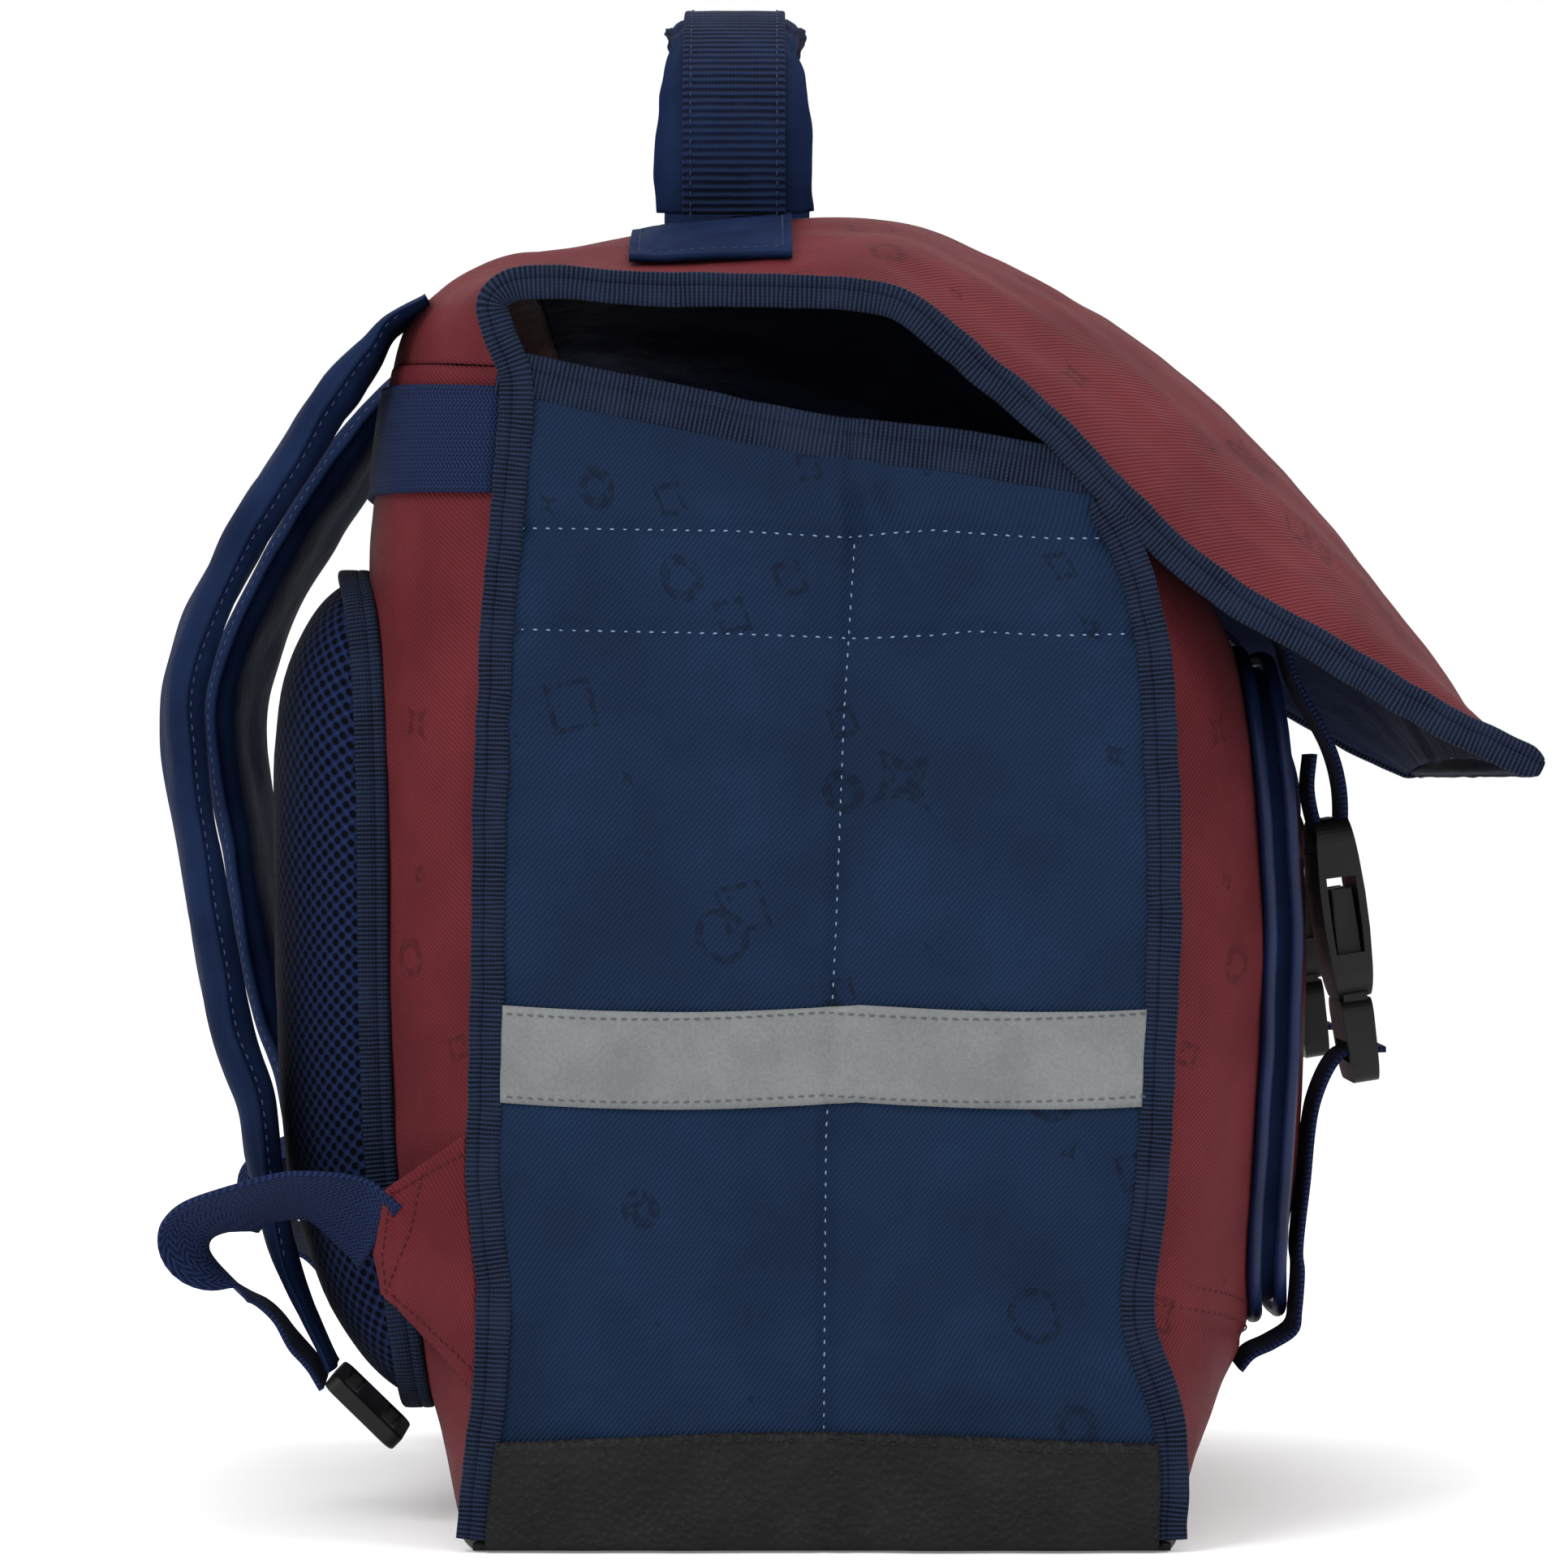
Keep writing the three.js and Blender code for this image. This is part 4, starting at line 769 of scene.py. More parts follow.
# The sides
MOUTH = np.array([
    # x, z
    (-1.0, 0.939), (-0.87, 0.931), (-0.58, 0.916), (-0.39, 0.905), (-0.19, 0.894),
    (0.065, 0.882), (0.19, 0.879), (0.45, 0.871), (0.8, 0.855), (1.0, 0.845),
])
MOUTH_TAPE_WIDTH = 12.5 * MM
MOUTH_TAPE_THICK = 3 * MM
BASE_PLATE = 2.2 * MM
LEATHERETTE = 1.4 * MM
BOOT_TOP = 31.5 * MM
BOOT_WAVE = 1.6 * MM
REFLECTIVE = 0.8 * MM
STRIP_MIDDLE = 138 * MM
STRIP_HEIGHT = 27 * MM
STRIP_SAG = 2 * MM
CREASE_LOW = (34 * MM, 122 * MM)  # the crease's stitches end at the reflective strip and start again over it
CREASE_HIGH = (153 * MM, 279 * MM)
ROW_STITCH = (3.6 * MM, 1.3 * MM)
CREASE_STITCH = (3.4 * MM, 1.3 * MM)

CREASE = seen([(1048, 560), (1053, 674), (1040, 885), (1030, 1150), (1018, 1400), (1015, 1790)])
SEWN_ROWS = [seen(row) for row in (
    [(640, 650), (901, 653), (1040, 661), (1150, 652), (1200, 656), (1300, 663), (1400, 662)],
    [(640, 775), (901, 780), (1061, 786), (1150, 782), (1200, 777), (1300, 783), (1410, 780)],
)]


def level(height):
    return lambda x: np.full_like(x, height)


def mouth_z(x):
    return HEIGHT * np.interp(x / HALF_DEPTH, MOUTH[:, 0], MOUTH[:, 1])


def boot_top(x):
    return BOOT_TOP + BOOT_WAVE * np.cos(x / HALF_DEPTH * 3.0 + 0.5)


def strip_edge(way):
    """The reflective strip's lower (-1) or upper (1) edge, its height by x."""
    height = STRIP_MIDDLE + way * STRIP_HEIGHT / 2
    return lambda x: height - STRIP_SAG * np.abs(np.sin(math.pi * x / HALF_DEPTH))


SIDE_SEAMS = (
    # name, edge, offset up, offset out, thread
    ("boot", boot_top, -2.2 * MM, 2.4 * MM, BLACK_THREAD),
    ("strip_low", strip_edge(-1), 2 * MM, 0.9 * MM, GREY_THREAD),
    ("strip_high", strip_edge(1), -2 * MM, 0.9 * MM, GREY_THREAD),
)


def crease_x(z):
    return np.interp(z, CREASE[::-1, 1], CREASE[::-1, 0])


def side_dent(x, z):
    """How far the whole side sinks in."""
    slump = np.cos(math.pi / 2 * np.minimum(1, np.abs(x) / HALF_DEPTH))
    high = rise(z, HEIGHT)
    return SIDE_DENT * (0.35 * ridge(x, 0.16 * HALF_DEPTH) * high + 0.65 * slump * high ** 2)


def side_relief(x, z, seed):
    """How far the side's cloth stands out: sewn rows pull in, and the cloth is loose between them."""
    under_mouth = mouth_z(x) - z - 5 * MM
    edge = np.clip((HALF_DEPTH - np.abs(x)) / (16 * MM), 0.1, 1) * rise(under_mouth, 14 * MM)
    place = np.stack([x, np.full_like(x, seed), z], -1)
    loose = uneven(place, seed, (3.4, (0.045, 1, 0.08)), (0.9, 0.018)) * edge

    off = x - crease_x(z)
    swell = (0.5 + 1.4 * rise(z - 250 * MM, 60 * MM)) * MM * rise(under_mouth, 6 * MM)
    crease = swell * ridge(np.abs(off) - 5 * MM, 3.5 * MM) - 1.3 * MM * ridge(off, 1.6 * MM)

    gathered = 1 + 0.45 * np.sin(x / (1.9 * MM) + 2 * np.sin(x / (7 * MM)))
    rows = sum(ridge(z - np.interp(x, row[:, 0], row[:, 1]), 2.2 * MM) for row in SEWN_ROWS)

    fold_x = crease_x(z) + 26 * MM * np.clip((300 * MM - z) / (45 * MM), 0, 1.2)
    fold = 2.6 * MM * ridge(x - fold_x, 5 * MM) * rise(z - 255 * MM, 15 * MM) * rise(305 * MM - z, 10 * MM)
    return loose + crease - 1.0 * MM * gathered * rows + fold


def side_grid(low, high, rows, columns, inset=0.0):
    """A grid on the side's outer face; low and high are its edges' heights by x."""
    u, w = grid(rows, columns)
    guess = -HALF_DEPTH + 1.8 * HALF_DEPTH * u
    z = low(guess) + (high(guess) - low(guess)) * w
    back, front = seam_x(WRAP_EDGE[:BACK_ROWS], z), seam_x(FRONT_EDGE, z)
    return back + inset + (front - back - 2 * inset) * u, z


def side_points(side, x, z, out):
    return np.stack([x, side * (SIDE_Y - side_dent(x, z) + out), z], -1)


def add_sides():
    for word, side in SIDES.items():
        seed = 11 if side < 0 else 17
        x, z = side_grid(level(BASE_PLATE + 1 * MM), mouth_z, 110, 170)
        p = side_points(side, x, z, side_relief(x, z, seed))
        piece("side_panel_" + word + ".cloth", sheet(p, CLOTH, 0, -side), NAVY)

        x, z = side_grid(level(GAP), boot_top, 96, 20, 3.4 * MM)
        puff = 0.8 * MM * bumps(side_points(side, x, z, 0), 0.03, seed + 3)
        edge = rise(z, 3 * MM) ** 0.5 * rise(boot_top(x) - z, 1.5 * MM) ** 0.5
        out = side_relief(x, z, seed) * 0.5 + GAP + LEATHERETTE + puff + 0.8 * MM * edge
        shape = sheet(side_points(side, x, z, out), LEATHERETTE + 0.5 * MM, 0, -side)
        piece("side_boot_" + word + ".skin", shape, BLACK_LEATHER)

        x, z = side_grid(strip_edge(-1), strip_edge(1), 110, 12, 3.6 * MM)
        p = side_points(side, x, z, side_relief(x, z, seed) * 0.8 + GAP + REFLECTIVE)
        piece("reflective_strip_" + word + ".skin", sheet(p, REFLECTIVE, 0, -side), GREY)

        for name, edge, up, out, dye in SIDE_SEAMS:
            x = np.linspace(-0.93, 0.96, 200) * HALF_DEPTH
            z = edge(x) + up
            path = side_points(side, x, z, side_relief(x, z, seed) * 0.8 + GAP + out)
            stitches("stitches_" + name + "_" + word, path, (0, side, 0), dye)

        for k, row in enumerate(SEWN_ROWS):
            x = np.linspace(-0.93, 0.9, 220) * HALF_DEPTH
            z = np.interp(x, row[:, 0], row[:, 1])
            path = side_points(side, x, z, side_relief(x, z, seed))
            stitches("stitches_row%d_%s" % (k, word), path, (0, side, 0), PALE_THREAD, *ROW_STITCH)
        z = np.linspace(CREASE_LOW[0], CREASE_HIGH[1], 300)
        x = crease_x(z)
        path = side_points(side, x, z, side_relief(x, z, seed) + 0.2 * MM)
        for part, keep in (("low", z < CREASE_LOW[1]), ("high", z > CREASE_HIGH[0])):
            name = "stitches_crease_%s_%s" % (part, word)
            stitches(name, path[keep], (0, side, 0), PALE_THREAD, *CREASE_STITCH)


# The bindings
STEP = 1.6 * MM  # between a tape's rings


def tape(name, route, across, wide, thick, closed=False):
    piece(name + ".tape", sweep(route, TAPE, across, wide, thick, closed), TAPE_CLOTH)


def edge_route(edge, side, end, seed):
    route = even(smooth(edge, np.linspace(0, end, 900)), STEP)
    route[:, 1] = side * (HALF_WIDTH - TAPE_THICK / 2)
    wobble = 0.45 * MM * bumps(route, 0.012, seed)
    direction = heading(route)
    route += np.stack([-direction[:, 2], 0 * wobble, direction[:, 0]], 1) * wobble[:, None]
    route[:, 1] += 0.3 * MM * bumps(route, 0.02, seed + 1)
    return route


def across_edge(route):
    return np.cross(heading(route), (0, 1, 0))


def add_tapes():
    for word, side in SIDES.items():
        for name, edge, end, seed in (("edge_binding_", WRAP_EDGE, 1, 21),
                                      ("front_binding_", FRONT_EDGE, 0.985, 25)):
            route = edge_route(edge, side, end, seed)
            if edge is WRAP_EDGE:  # it runs on a little past the hem
                onward = unit(route[-1] - route[-3])
                route = np.vstack([route, route[-1] + onward * np.arange(1, 6)[:, None] * 0.8 * MM])
            left = 1 - rise(lengths(route[::-1])[::-1], 5 * MM)
            wide = TAPE_WIDTH * (1 + 0.05 * bumps(route, 0.02, 23)) * (1 - 0.45 * left ** 2)
            tape(name + word, route, across_edge(route), wide, TAPE_THICK)

        x = np.linspace(-0.965, 0.8, 300) * HALF_DEPTH
        route = side_points(side, x, mouth_z(x), -CLOTH / 2)
        route[:, 1] -= side * 1.2 * MM * ridge(x - crease_x(0.3), 2.5 * MM)
        route[:, 2] += 0.5 * MM * bumps(route, 0.02, 27)
        route = even(route, STEP)
        tape("mouth_tape_" + word, route, across_edge(route), MOUTH_TAPE_WIDTH, MOUTH_TAPE_THICK)

    edge = smooth(WRAP_EDGE, 1.0)
    along = unit(edge - smooth(WRAP_EDGE, 0.995))
    y = np.linspace(-PANEL_Y, PANEL_Y, 170)
    route = edge + along * (GAP + TAPE_THICK / 2 + 0.4 * MM) + np.stack([0 * y, y, 0 * y], 1)
    route[:, 2] += 0.35 * MM * bumps(route, 0.03, 29)
    tape("hem_binding", route, along, TAPE_THICK + 1 * MM, TAPE_THICK + 1 * MM)


# The back: pad, band, straps
BACK_LIFT = 0.5 * MM
PAD_HALF_WIDTH = 98 * MM
PAD_BOTTOM = 33 * MM
PAD_TOP = 273 * MM
PAD_THICK = 30 * MM
PAD_CORNER = 0.3
PAD_RIM = 3 * MM
PAD_CHANNEL = 9 * MM
PAD_TAPE_WIDTH = 9 * MM
PAD_TAPE_THICK = 3 * MM
BAND_BOTTOM = 296 * MM
BAND_TOP = 327 * MM
BAND_THICK = 2 * MM
WEBBING_WIDTH = 30 * MM
WEBBING = 1.8 * MM


def back_t(z):
    ts = np.linspace(0, CORNER, 500)
    return np.interp(z, wrap_at(ts, 0 * ts)[:, 2], ts)


def outline(half_width, bottom, top, roundness, count, corners=400):
    """Evenly spaced points of a rounded rectangle."""
    bent = oval(corners, roundness) * (half_width, (top - bottom) / 2) + (0, (top + bottom) / 2)
    ring = np.vstack([bent, bent[:1]])
    along = lengths(ring)
    places = np.linspace(0, along[-1], count, endpoint=False)
    return np.interp(places, along, ring[:, 0]), np.interp(places, along, ring[:, 1])


def domed(y, z, middle, surface, toward, levels, relief):
    """Rings over a curved panel at shares r of an outline, and a UV that unrolls from its middle."""
    rings, unrolled = [], []
    for r, height in levels:
        ry, rz = y * r, middle + (z - middle) * r
        ring = np.stack([surface(ry, rz) + toward * (height + relief(ry, rz, r)), ry, rz], 1)
        if rings:
            reach = reach + np.linalg.norm(ring - rings[-1], axis=1)
        else:
            reach = np.hypot(ry, rz - middle)
        angle = np.arctan2(rz - middle, ry)
        unrolled.append(np.stack([reach * np.cos(angle), reach * np.sin(angle)], 1))
        rings.append(ring)
    points, faces, _ = loft(rings)
    return points, faces, np.concatenate(unrolled)


def add_back_pad():
    y, z = outline(PAD_HALF_WIDTH, PAD_BOTTOM, PAD_TOP, PAD_CORNER, 220)
    under = BACK_LIFT + GAP

    def crown(r):
        return under + PAD_RIM + (PAD_THICK - PAD_RIM) * (1 - r ** 4) ** 0.6

    def channels(py, pz, r):
        """A sewn channel down the middle, and foam that is a little uneven."""
        lumps = bumps(np.stack([0 * py, py, pz], 1), 0.03, 31)
        return 0.8 * MM * lumps - PAD_CHANNEL * ridge(py, 7 * MM) * rise(0.93 - r, 0.2)

    upper = [(r, crown(r)) for r in np.concatenate([np.linspace(0.03, 0.8, 24), np.linspace(0.82, 0.985, 22)])]
    lower = [(r, under) for r in (0.985, 0.7, 0.4, 0.1)]
    shape = domed(y, z, (PAD_TOP + PAD_BOTTOM) / 2, back_x, -1, upper + lower, channels)
    pad = piece("back_pad.cushion", shape, MESH_CLOTH)

    half = PAD_TAPE_THICK / 2
    y, z = outline(PAD_HALF_WIDTH + half, PAD_BOTTOM - half, PAD_TOP + half, PAD_CORNER, 460)
    route = np.stack([back_x(y, z) - PAD_TAPE_WIDTH / 2 - GAP, y, z], 1)
    tape("pad_tape", route, (1, 0, 0), PAD_TAPE_WIDTH, PAD_TAPE_THICK, True)


def add_band():
    low, high = back_t(BAND_BOTTOM), back_t(BAND_TOP)
    u, v = grid(22, 120)
    p = wrap_at(low + (high - low) * u, (2 * v - 1) * (PANEL_Y - BAND_THICK - GAP))
    border = ridge(np.abs(2 * u - 1) - 0.82, 0.06) + 0 * v
    points, faces, uv = sheet(p, BAND_THICK, BAND_THICK + 0.2 * MM, 1, -0.45 * MM * border)
    piece("strap_band.webbing", (points, faces, uv[:, ::-1]), WEBBING_CLOTH)


STRAP_WIDTH = 58 * MM
STRAP_THICK = 12 * MM
STRAP_Y = 75 * MM
STRAP_SLANT = 0.14
STRAP_FLANGE = 0.955  # where its edges are sewn, a share of half its width
STRAP_ROOT = (-112.5 * MM, 351.5 * MM)  # x and z of its sewn end, inside the back's top corner
STRAP_SEWN = slice(10, 232)
STRAP_STITCH = (3.4 * MM,)
STRAP_DENTS = (0.02, 0.03, 0.035)
STRAP = np.array([
    # out, off, up, wide, thick
    (0.78, 0, 0.9845, 0.95, 0.3),
    (0.92, 0, 0.9614, 1, 0.4),
    (1.1, 0, 0.9338, 1, 0.7),
    (1.3, 0, 0.8984, 1, 0.95),
    (1.2825, 0.25, 0.8642, 1, 1),
    (1.305, 0.5, 0.8244, 1, 1),
    (1.38, 0.8, 0.7571, 1, 1),
    (1.45, 1, 0.6909, 1, 1),
    (1.53, 1, 0.6368, 1, 1),
    (1.5, 1, 0.565, 1, 1),
    (1.4, 1, 0.4954, 1, 1),
    (1.3, 1, 0.4159, 1, 1),
    (1.17, 1, 0.3409, 1, 1),
    (1.02, 1, 0.2834, 1, 1),
    (0.95, 1, 0.2205, 0.97, 0.9),
    (0.83, 1, 0.1487, 0.8, 0.6),
    (0.64, 1, 0.0847, 0.62, 0.35),
    (0.45, 1, 0.0345, 0.55, 0.3),
])
LOOP = np.array([
    # out, off, aside, up, lean
    (0.72, 0, 0.6425, 0.1565, 72),
    (0.95, 0, 0.6015, 0.183, 56),
    (1.095, 0.3, 0.5908, 0.2006, 30),
    (1.27, 0.6, 0.5865, 0.1918, 28),
    (1.23, 1, 0.5003, 0.1741, 34),
    (1.3, 1, 0.3323, 0.1465, 24),
    (1.15, 1, 0.1858, 0.1156, 10),
    (0.89, 1, 0.0997, 0.0869, 5),
    (0.73, 1, 0.0458, 0.0604, 0),
    (0.59, 1, 0.0157, 0.0383, 0),
    (0.51, 1, 0.0092, 0.0218, 0),
])
TAB_LOW = 0.125
TAB_HIGH = 0.33
TAB_LIFT = 0.9 * MM
TAB_STITCH = (2.6 * MM, 1.9 * MM, 0.6 * MM)
TAB_SEAMS = {  # rows and columns of the tab's grid
    "top": [(k, 37) for k in range(2, 34)],
    "low": [(k, 3) for k in range(2, 34)],
    "tip": [(33, k) for k in range(3, 38)],
    "slant": [(k, int(3 + 34 * (33 - k) / 14)) for k in range(19, 34)],
}

# A padded strap pinched to a flat sewn flange along both edges
PILLOW = mirrored([(1, 0), (0.99, 0.13), (0.93, 0.15), (0.9, 0.22), (0.86, 0.5), (0.76, 0.8), (0.6, 0.96),
                   (0.38, 1), (0.18, 0.95), (0, 0.9), (-0.18, 0.95), (-0.38, 1), (-0.6, 0.96), (-0.76, 0.8),
                   (-0.86, 0.5), (-0.9, 0.22), (-0.93, 0.15), (-0.99, 0.13), (-1, 0)])


def off_back(rows, up, y):
    """Points off the back: out by shares of its bulge and of the pad, up by shares from the pad's foot."""
    x = -HALF_DEPTH - rows[:, 0] * BACK_BULGE - rows[:, 1] * PAD_THICK
    return np.stack([x, y + 0 * x, PAD_BOTTOM + up * (HEIGHT - PAD_BOTTOM)], 1)


def crumpled(points, wide, high, seed):
    """Small soft dents in a cloth-covered pad."""
    return points + np.stack([high * bumps(points, wide, seed + k) for k in range(3)], -1)


def sewn(name, surface, facing, cells, dye, size):
    """Stitches along the given cells, rows and columns, of a surface's grid."""
    rows, columns = np.array(cells).T
    stitches(name, surface[rows, columns], facing[rows, columns], dye, *size)


def add_shoulder_straps():
    t = np.linspace(0, 1, 260)
    for word, side in SIDES.items():
        seed = 41 if side < 0 else 47
        line = off_back(STRAP, STRAP[:, 2], side * STRAP_Y)
        route = smooth(np.vstack([(STRAP_ROOT[0], side * STRAP_Y, STRAP_ROOT[1]), line]), t)
        across = np.stack([STRAP_SLANT * np.sin(math.pi * t) ** 0.5, side + 0 * t, 0 * t], 1)
        wide = STRAP_WIDTH * column(STRAP, STRAP[:, 3], t)
        thick = STRAP_THICK * column(STRAP, STRAP[:, 4], t)
        points, faces, uv = sweep(route, PILLOW, across, wide, thick)
        points = crumpled(points, STRAP_DENTS, 1.1 * MM, seed)
        pad = piece("shoulder_strap_" + word + ".pad", (points, faces, uv), SATIN)

        direction = heading(route)
        face = unit(np.cross(across, direction))
        width = np.cross(direction, face)
        for edge in (-1, 1):
            aside, out = edge * STRAP_FLANGE * wide / 2, 0.1 * thick + 0.4 * MM
            path = route + width * aside[:, None] + face * out[:, None]
            path = crumpled(path, STRAP_DENTS, 1.1 * MM, seed)[STRAP_SEWN]
            name = "stitches_strap_%s_%d" % (word, edge > 0)
            stitches(name, path, face[STRAP_SEWN], STRAP_THREAD, *STRAP_STITCH)


def add_loops():
    t = np.linspace(0, 1, 150)
    lean = np.radians(smooth(np.stack([LOOP[:, 4]] * 3, 1), t)[..., 0])
    for word, side in SIDES.items():
        y = side * (STRAP_Y + LOOP[:, 2] * (HALF_WIDTH - STRAP_Y))
        route = smooth(off_back(LOOP, LOOP[:, 3], y), t)
        across = np.stack([0 * lean, side * np.cos(lean), np.sin(lean)], -1)
        shown = slice(4, None)  # its first few millimetres are hidden in the tab
        shape = sweep(route[shown], WEBBING_SECTION, across[shown], WEBBING_WIDTH, WEBBING)
        piece("strap_webbing_" + word + ".webbing", shape, WEBBING_CLOTH)

        u, v = grid(36, 40)
        u = u * (1.1 - 0.22 * np.abs(v - 0.36))
        z = (TAB_LOW + (TAB_HIGH - TAB_LOW) * v) * HEIGHT
        y = side * (PANEL_Y - 2 * MM)
        seam = np.stack([back_x(y + 0 * z, z) - BACK_LIFT - CLOTH, y + 0 * z, z], -1)
        tip = route[2] + across[0] * ((v - 0.5) * WEBBING_WIDTH * 1.04)[..., None]
        p = seam + (tip - seam) * u[..., None]
        p[..., 1] += side * 2 * MM * rise(u - 0.6, 0.3)
        relief = 0.5 * MM * (bumps(p, 0.012, 51) - ridge(u - 0.86, 0.03))
        piece("strap_tab_" + word + ".cloth", sheet(p, CLOTH, TAB_LIFT, side, relief), RED)
        facing = grid_normals(p) * side
        top = p + facing * (TAB_LIFT + relief[..., None])
        for name, cells in TAB_SEAMS.items():
            sewn("stitches_tab_%s_%s" % (name, word), top, facing, cells, RED_THREAD, TAB_STITCH)


# The carry handle
HANDLE_X = -25 * MM
HANDLE_WIDTH = 46 * MM
HANDLE_THICK = 8 * MM
HANDLE_HALF_SPAN = 62 * MM
HANDLE_RISE = 61.5 * MM
HANDLE_STITCH = (3 * MM, 2 * MM, 0.6 * MM)
HANDLE_PINCHES = (0.27, 0.33, 0.67, 0.73)
PATCH_X = -31 * MM
PATCH_START = 57 * MM
PATCH_END = 118 * MM
PATCH_THICK = 2 * MM
PATCH_LIFT = PATCH_THICK + 0.9 * MM
PATCH_SEAM = ([(2, k) for k in range(3, 38)] + [(k, 37) for k in range(3, 33)]
              + [(32, k) for k in range(36, 2, -1)] + [(k, 3) for k in range(31, 2, -1)])
HANDLE = np.array([
    # y, z, wide
    (-1, 0, 1),
    (-1.05, 0.22, 1),
    (-1.02, 0.46, 0.95),
    (-0.9, 0.7, 0.84),
    (-0.64, 0.9, 0.8),
    (-0.3, 0.985, 0.92),
    (0, 1, 0.92),
])


def surface_top(x, y):
    """The top's height at x and y, the right side's slack with it."""
    x, y = np.broadcast_arrays(np.asarray(x, float), np.asarray(y, float))
    ts = np.linspace(CORNER + 0.04, 1, 300)
    lines = (wrap_at(ts, b + 0 * ts) for b in y.ravel())
    found = [np.interp(a, line[:, 0], line[:, 2]) for a, line in zip(x.ravel(), lines)]
    return np.array(found).reshape(x.shape)


def add_handle():
    foot = float(surface_top(HANDLE_X, -HANDLE_HALF_SPAN)) + BACK_LIFT + PATCH_THICK + 1.9 * MM
    peak = float(surface_top(HANDLE_X, 0)) + HANDLE_RISE
    rows = np.vstack([HANDLE, HANDLE[-2::-1] * (-1, 1, 1)])
    y, z = rows[:, 0] * HANDLE_HALF_SPAN, foot + rows[:, 1] * (peak - foot)
    route = even(smooth(np.stack([HANDLE_X + 0 * y, y, z], 1), np.linspace(0, 1, 400)), STEP)
    t = np.linspace(0, 1, len(route))
    pinch = sum(ridge(t - k, 0.022) for k in HANDLE_PINCHES)
    wide = HANDLE_WIDTH * column(rows, rows[:, 2], t) * (1 - 0.05 * pinch)
    points, faces, uv = sweep(route, PILLOW, (1, 0, 0), wide, HANDLE_THICK)
    points = crumpled(points, (0.012, 0.012, 0.016), 0.9 * MM, 61)
    pad = piece("handle.pad", (points, faces, uv), SATIN)

    direction = heading(route)
    out = np.stack([0 * t, -direction[:, 2], direction[:, 1]], 1)
    lift = HANDLE_THICK / 2 + GAP + WEBBING / 2
    shape = sweep(route + out * lift, WEBBING_SECTION, (1, 0, 0), WEBBING_WIDTH, WEBBING)
    piece("handle_webbing.webbing", shape, COARSE_WEBBING)
    for edge in (-1, 1):
        path = route + out * (lift + WEBBING / 2 - 0.1 * MM) + np.array((edge * 0.42 * WEBBING_WIDTH, 0, 0))
        stitches("stitches_handle_%d" % (edge > 0), path, out, NAVY_THREAD, *HANDLE_STITCH)

    for word, side in SIDES.items():
        u, v = grid(34, 40)
        x = PATCH_X + (u - 0.5) * HANDLE_WIDTH + 0 * v
        y = side * (PATCH_START + (PATCH_END - PATCH_START) * v) + 0 * u
        p = np.stack([x, y, surface_top(x, y)], -1)
        off_x, off_y = np.abs(2 * u - 1), np.abs(2 * v - 1)
        rim = np.maximum(off_x, off_y)
        cross = ridge(off_x - off_y, 0.06) * (rim < 0.86)
        relief = 0.5 * MM * bumps(p, 0.011, 63) - 0.55 * MM * np.maximum(ridge(rim - 0.86, 0.035), 0.7 * cross)
        piece("handle_patch_" + word + ".cloth", sheet(p, PATCH_THICK, PATCH_LIFT, side, relief), SATIN)
        facing = grid_normals(p) * side
        top = p + facing * (PATCH_LIFT + relief[..., None])
        sewn("stitches_patch_" + word, top, facing, PATCH_SEAM, NAVY_THREAD, HANDLE_STITCH)


# The front: pocket, piping, buckles and their webbing
POCKET_HALF_WIDTH = 94 * MM
POCKET_BOTTOM = 58 * MM
POCKET_TOP = 250 * MM
POCKET_DEPTH = 9.5 * MM
POCKET_ROUNDNESS = 0.36
GUSSET_RINGS = 6
PIPING = 4 * MM
BUCKLE_Y = 70 * MM
BUCKLE_THICK = 13 * MM
BUCKLE_LENGTH = 52 * MM
BUCKLE_TILT = 0.13
BUCKLE_CLEARANCE = 1.2 * MM
BUCKLE_TOP = 203 * MM
BAR = 4 * MM
BAR_THICK = 5 * MM
SLOT = 6 * MM
MALE_LENGTH = 24 * MM
MALE_THICK = 9 * MM
FIT = 0.4 * MM
SEAM_STITCH = (3.4 * MM,)


def add_piping(name, grow, height):
    low, high = POCKET_BOTTOM - grow, POCKET_TOP + grow
    y, z = outline(POCKET_HALF_WIDTH + grow, low, high, POCKET_ROUNDNESS, 520, 600)
    route = crumpled(np.stack([front_x(y, z) + height, y, z], 1), 0.02, 0.25 * MM, 71)
    piece(name + ".piping", sweep(route, CORD, (1, 0, 0), PIPING, PIPING, True), PIPING_CLOTH)


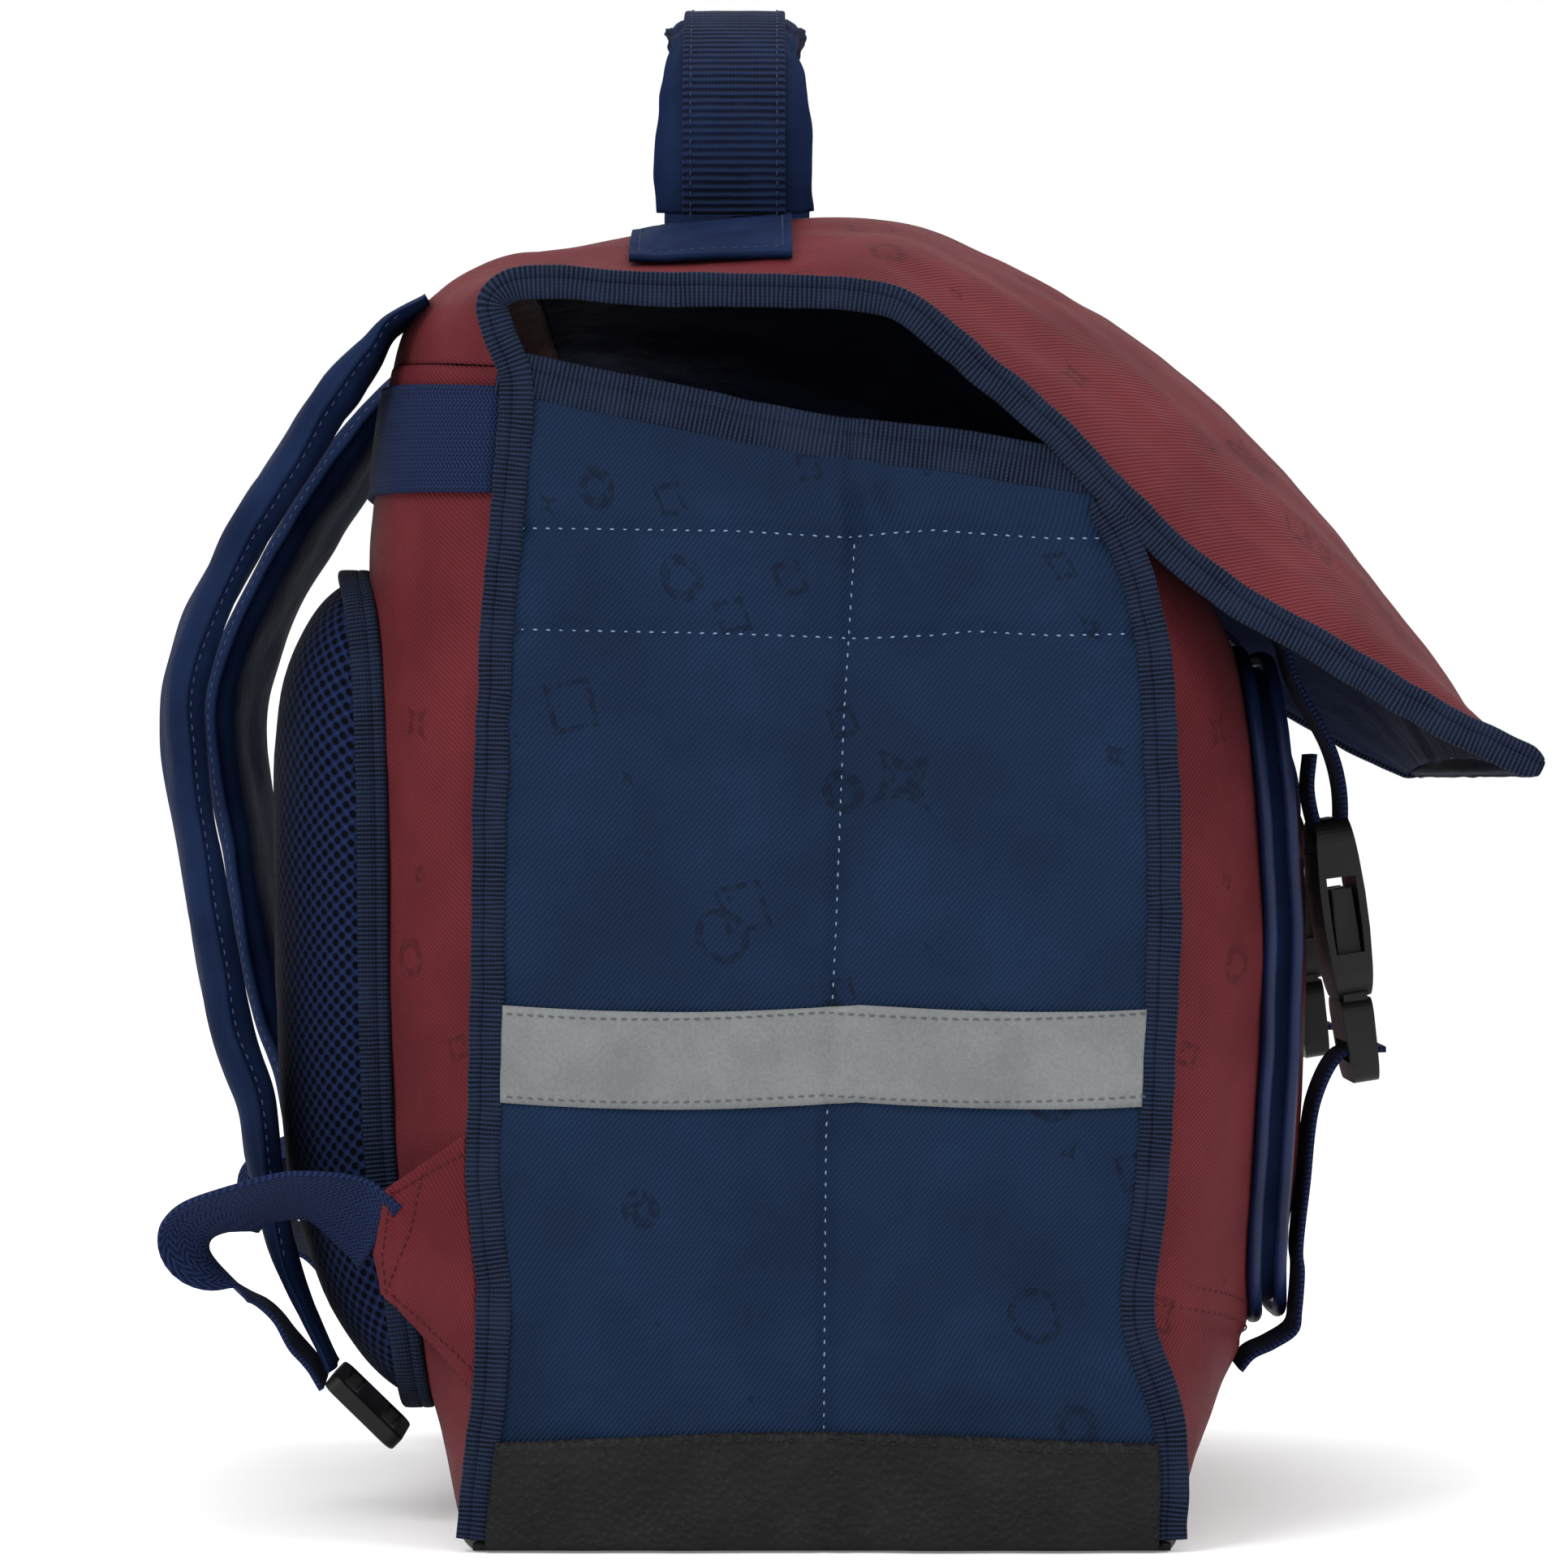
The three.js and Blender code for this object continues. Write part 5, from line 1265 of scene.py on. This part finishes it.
def add_pocket():
    y, z = outline(POCKET_HALF_WIDTH, POCKET_BOTTOM, POCKET_TOP, POCKET_ROUNDNESS, 260, 600)
    face = POCKET_DEPTH + BACK_LIFT
    levels = [(r, face) for r in np.linspace(0.02, 0.86, 30)]
    levels += [(0.9, face - 0.3 * MM), (0.93, face - 0.9 * MM)]
    levels += [(0.955, face - 1.7 * MM), (0.97, face - 2.4 * MM)]
    gusset = len(levels) - 1
    levels += [(0.97 + 0.03 * k, (face - 2.4 * MM) * (1 - k)) for k in (0.25, 0.5, 0.75, 1)]
    wall = CLOTH / POCKET_HALF_WIDTH
    levels += [(0.99 - wall, 0.2 * MM), (0.95 - wall, face - 4 * MM)]
    levels += [(0.8, face - CLOTH), (0.02, face - CLOTH)]

    def relief(py, pz, r):
        return 0.8 * MM * bumps(np.stack([0 * py, py, pz], 1), 0.035, 75) * rise(0.93 - r, 0.1)

    shape = domed(y, z, (POCKET_TOP + POCKET_BOTTOM) / 2, front_x, 1, levels, relief)
    made = piece("front_pocket.cloth", shape, RED)
    made.data.materials.append(SATIN)
    for polygon in made.data.polygons:
        if gusset <= min(polygon.vertices) // len(y) < gusset + GUSSET_RINGS:
            polygon.material_index = 1
    add_piping("pocket_piping_outer", PIPING / 2, BACK_LIFT + PIPING / 2)
    add_piping("pocket_piping_inner", 0.2 * MM, face - 0.6 * MM)


BUCKLE_X = (float(front_x(BUCKLE_Y, BUCKLE_TOP)) + BACK_LIFT + POCKET_DEPTH + BUCKLE_CLEARANCE
            + BUCKLE_THICK / 2)
ROUND_BAR = BAR_THICK / 2 + WEBBING / 2 + GAP + 0.2 * MM
UNDER_BAR = -BAR - WEBBING / 2 - GAP - 1.8 * MM
MALE_SLOT = -BUCKLE_LENGTH - FIT - MALE_LENGTH + 6 * MM + SLOT / 2
PROUD = BACK_LIFT + POCKET_DEPTH + GAP + WEBBING / 2 + 1.2 * MM
OVER_PIPING = BACK_LIFT + POCKET_DEPTH + PIPING / 2 + GAP + WEBBING / 2


def from_buckle(x, y, z):
    """A point given in the tilted buckle's own directions, from the middle of its top."""
    c, s = math.cos(BUCKLE_TILT), math.sin(BUCKLE_TILT)
    return (BUCKLE_X + x * c - z * s, y, BUCKLE_TOP + x * s + z * c)


def on_front(y, z, off):
    return (float(front_x(BUCKLE_Y, z)) + off, y, z)


def flap_strap(y):
    """From under the flap down to the buckle, round its bar and up again."""
    down = [on_front(y, z * HEIGHT, off) for z, off in (
        (0.835, 6 * MM), (0.79, 6 * MM), (0.755, 9 * MM), (0.732, OVER_PIPING + 1.5 * MM),
        (0.695, OVER_PIPING + 1.5 * MM))]
    start_x = down[0][0] - 1 * MM
    under = float(top_z(BUCKLE_Y + WEBBING_WIDTH / 2, start_x)) - CLOTH - LINING - 3 * MM
    turn = [from_buckle(x, y, z) for x, z in (
        (3.2 * MM, 20 * MM), (ROUND_BAR + 0.8 * MM, 9 * MM), (ROUND_BAR, -1 * MM),
        (ROUND_BAR - 1.2 * MM, UNDER_BAR + 1.1 * MM), (0, UNDER_BAR),
        (-ROUND_BAR + 1.2 * MM, UNDER_BAR + 1.1 * MM), (-ROUND_BAR, -1 * MM), (-ROUND_BAR - 0.6 * MM, 9 * MM),
        (-2.4 * MM, 19 * MM))]
    return [(start_x, y, under), *down, *turn]


def front_strap(y):
    """Through the lower buckle half's slot and down over the piping to the front's foot."""
    slot = from_buckle(0, y, MALE_SLOT)
    over = from_buckle(MALE_THICK / 2 + 2.5 * MM, y, MALE_SLOT - 0.6 * MM)
    inside = from_buckle(-MALE_THICK / 2 - 1.2 * MM, y, MALE_SLOT - 0.8 * MM)
    hang = [on_front(y, POCKET_BOTTOM + (slot[2] - POCKET_BOTTOM) * share, off) for share, off in (
        (0.5, PROUD), (0.25, PROUD), (0.19, PROUD + 1 * MM))]
    foot = [on_front(y, POCKET_BOTTOM + z, off) for z, off in (
        (3 * MM, OVER_PIPING + 0.6 * MM), (-2.5 * MM, OVER_PIPING + 0.2 * MM), (-7 * MM, OVER_PIPING - 5 * MM),
        (-10 * MM, 3.4 * MM), (-14 * MM, 2.2 * MM))]
    return [over, slot, inside, on_front(y, slot[2] - 14 * MM, PROUD + 1.5 * MM), *hang, *foot]


def slimmed(bm, slim):
    """Thins a buckle half towards both of its ends, across its tilted middle line."""
    heights = [v.co.z for v in bm.verts]
    low, length = min(heights), max(heights) - min(heights)
    for share in (0.2, 0.4, 0.6, 0.8):
        geometry = bm.verts[:] + bm.edges[:] + bm.faces[:]
        bmesh.ops.bisect_plane(bm, geom=geometry, plane_co=(0, 0, low + share * length), plane_no=(0, 0, 1))
    middle = (min(v.co.x for v in bm.verts) + max(v.co.x for v in bm.verts)) / 2
    for v in bm.verts:
        share = (v.co.z - low) / length
        centre = middle - (share - 0.5) * length * math.tan(BUCKLE_TILT)
        v.co.x = centre + (v.co.x - centre) * (1 - slim * abs(2 * share - 1) ** 2.2)


def moulded(name, radius, slim=0.0):
    """The frame's own hard part again with its edges rounded; slim is how much thinner its ends are."""
    made = placed(name + ".moulded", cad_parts[name].data.copy())
    made.data.materials.clear()
    made.data.materials.append(BLACK)
    bm = bmesh.new()
    bm.from_mesh(made.data)
    bmesh.ops.remove_doubles(bm, verts=bm.verts, dist=0.01 * MM)
    bmesh.ops.dissolve_limit(bm, angle_limit=math.radians(1), verts=bm.verts, edges=bm.edges)
    if slim:
        slimmed(bm, slim)
    bm.to_mesh(made.data)
    bm.free()
    bevel = made.modifiers.new("bevel", "BEVEL")
    bevel.width = radius
    bevel.segments = 3
    bevel.angle_limit = math.radians(35)
    bevel.use_clamp_overlap = True
    graph = bpy.context.evaluated_depsgraph_get()
    made.data = bpy.data.meshes.new_from_object(made.evaluated_get(graph))
    made.modifiers.clear()
    made.data.polygons.foreach_set("use_smooth", [False] * len(made.data.polygons))
    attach(made, BODY)
    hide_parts(name)


def add_buckles():
    for word, side in SIDES.items():
        y = side * BUCKLE_Y
        for name, line in (("flap_strap_", flap_strap(y)), ("front_strap_", front_strap(y))):
            route = even(smooth(line, np.linspace(0, 1, 700)), 1.2 * MM)
            shape = sweep(route, WEBBING_SECTION, (0, 1, 0), WEBBING_WIDTH, WEBBING)
            piece(name + word + ".webbing", shape, WEBBING_CLOTH)
        moulded("buckle_female_" + word, 1.6 * MM, 0.3)
        moulded("buckle_male_" + word, 1.4 * MM, 0.2)
        moulded("strap_adjuster_" + word, 0.9 * MM)


def add_front_seam():
    y = np.linspace(-0.985, 0.985, 300) * PANEL_Y
    for name, share in (("seam_low", 0.196), ("seam_high", 0.214)):
        z = share * HEIGHT - seam_dip(y)
        path = np.stack([front_x(y, z) + 0.3 * MM, y, z], 1)
        stitches("stitches_" + name, path, (1, 0, 0), RED_THREAD, *SEAM_STITCH)


def add_base():
    u, v = grid(60, 90)
    y = (2 * v - 1) * SIDE_Y
    start, end = wrap_at(0, y)[..., 0], front_at(0, y)[..., 0]
    x = start + (end - start) * u
    p = np.stack([x, y + 0 * u, BASE_PLATE + 0 * x], -1)
    piece("bottom_panel.skin", sheet(p, BASE_PLATE), BLACK_LEATHER)


add_shell()
add_sides()
add_tapes()
add_back_pad()
add_band()
add_shoulder_straps()
add_loops()
add_handle()
add_pocket()
add_buckles()
add_front_seam()
add_base()
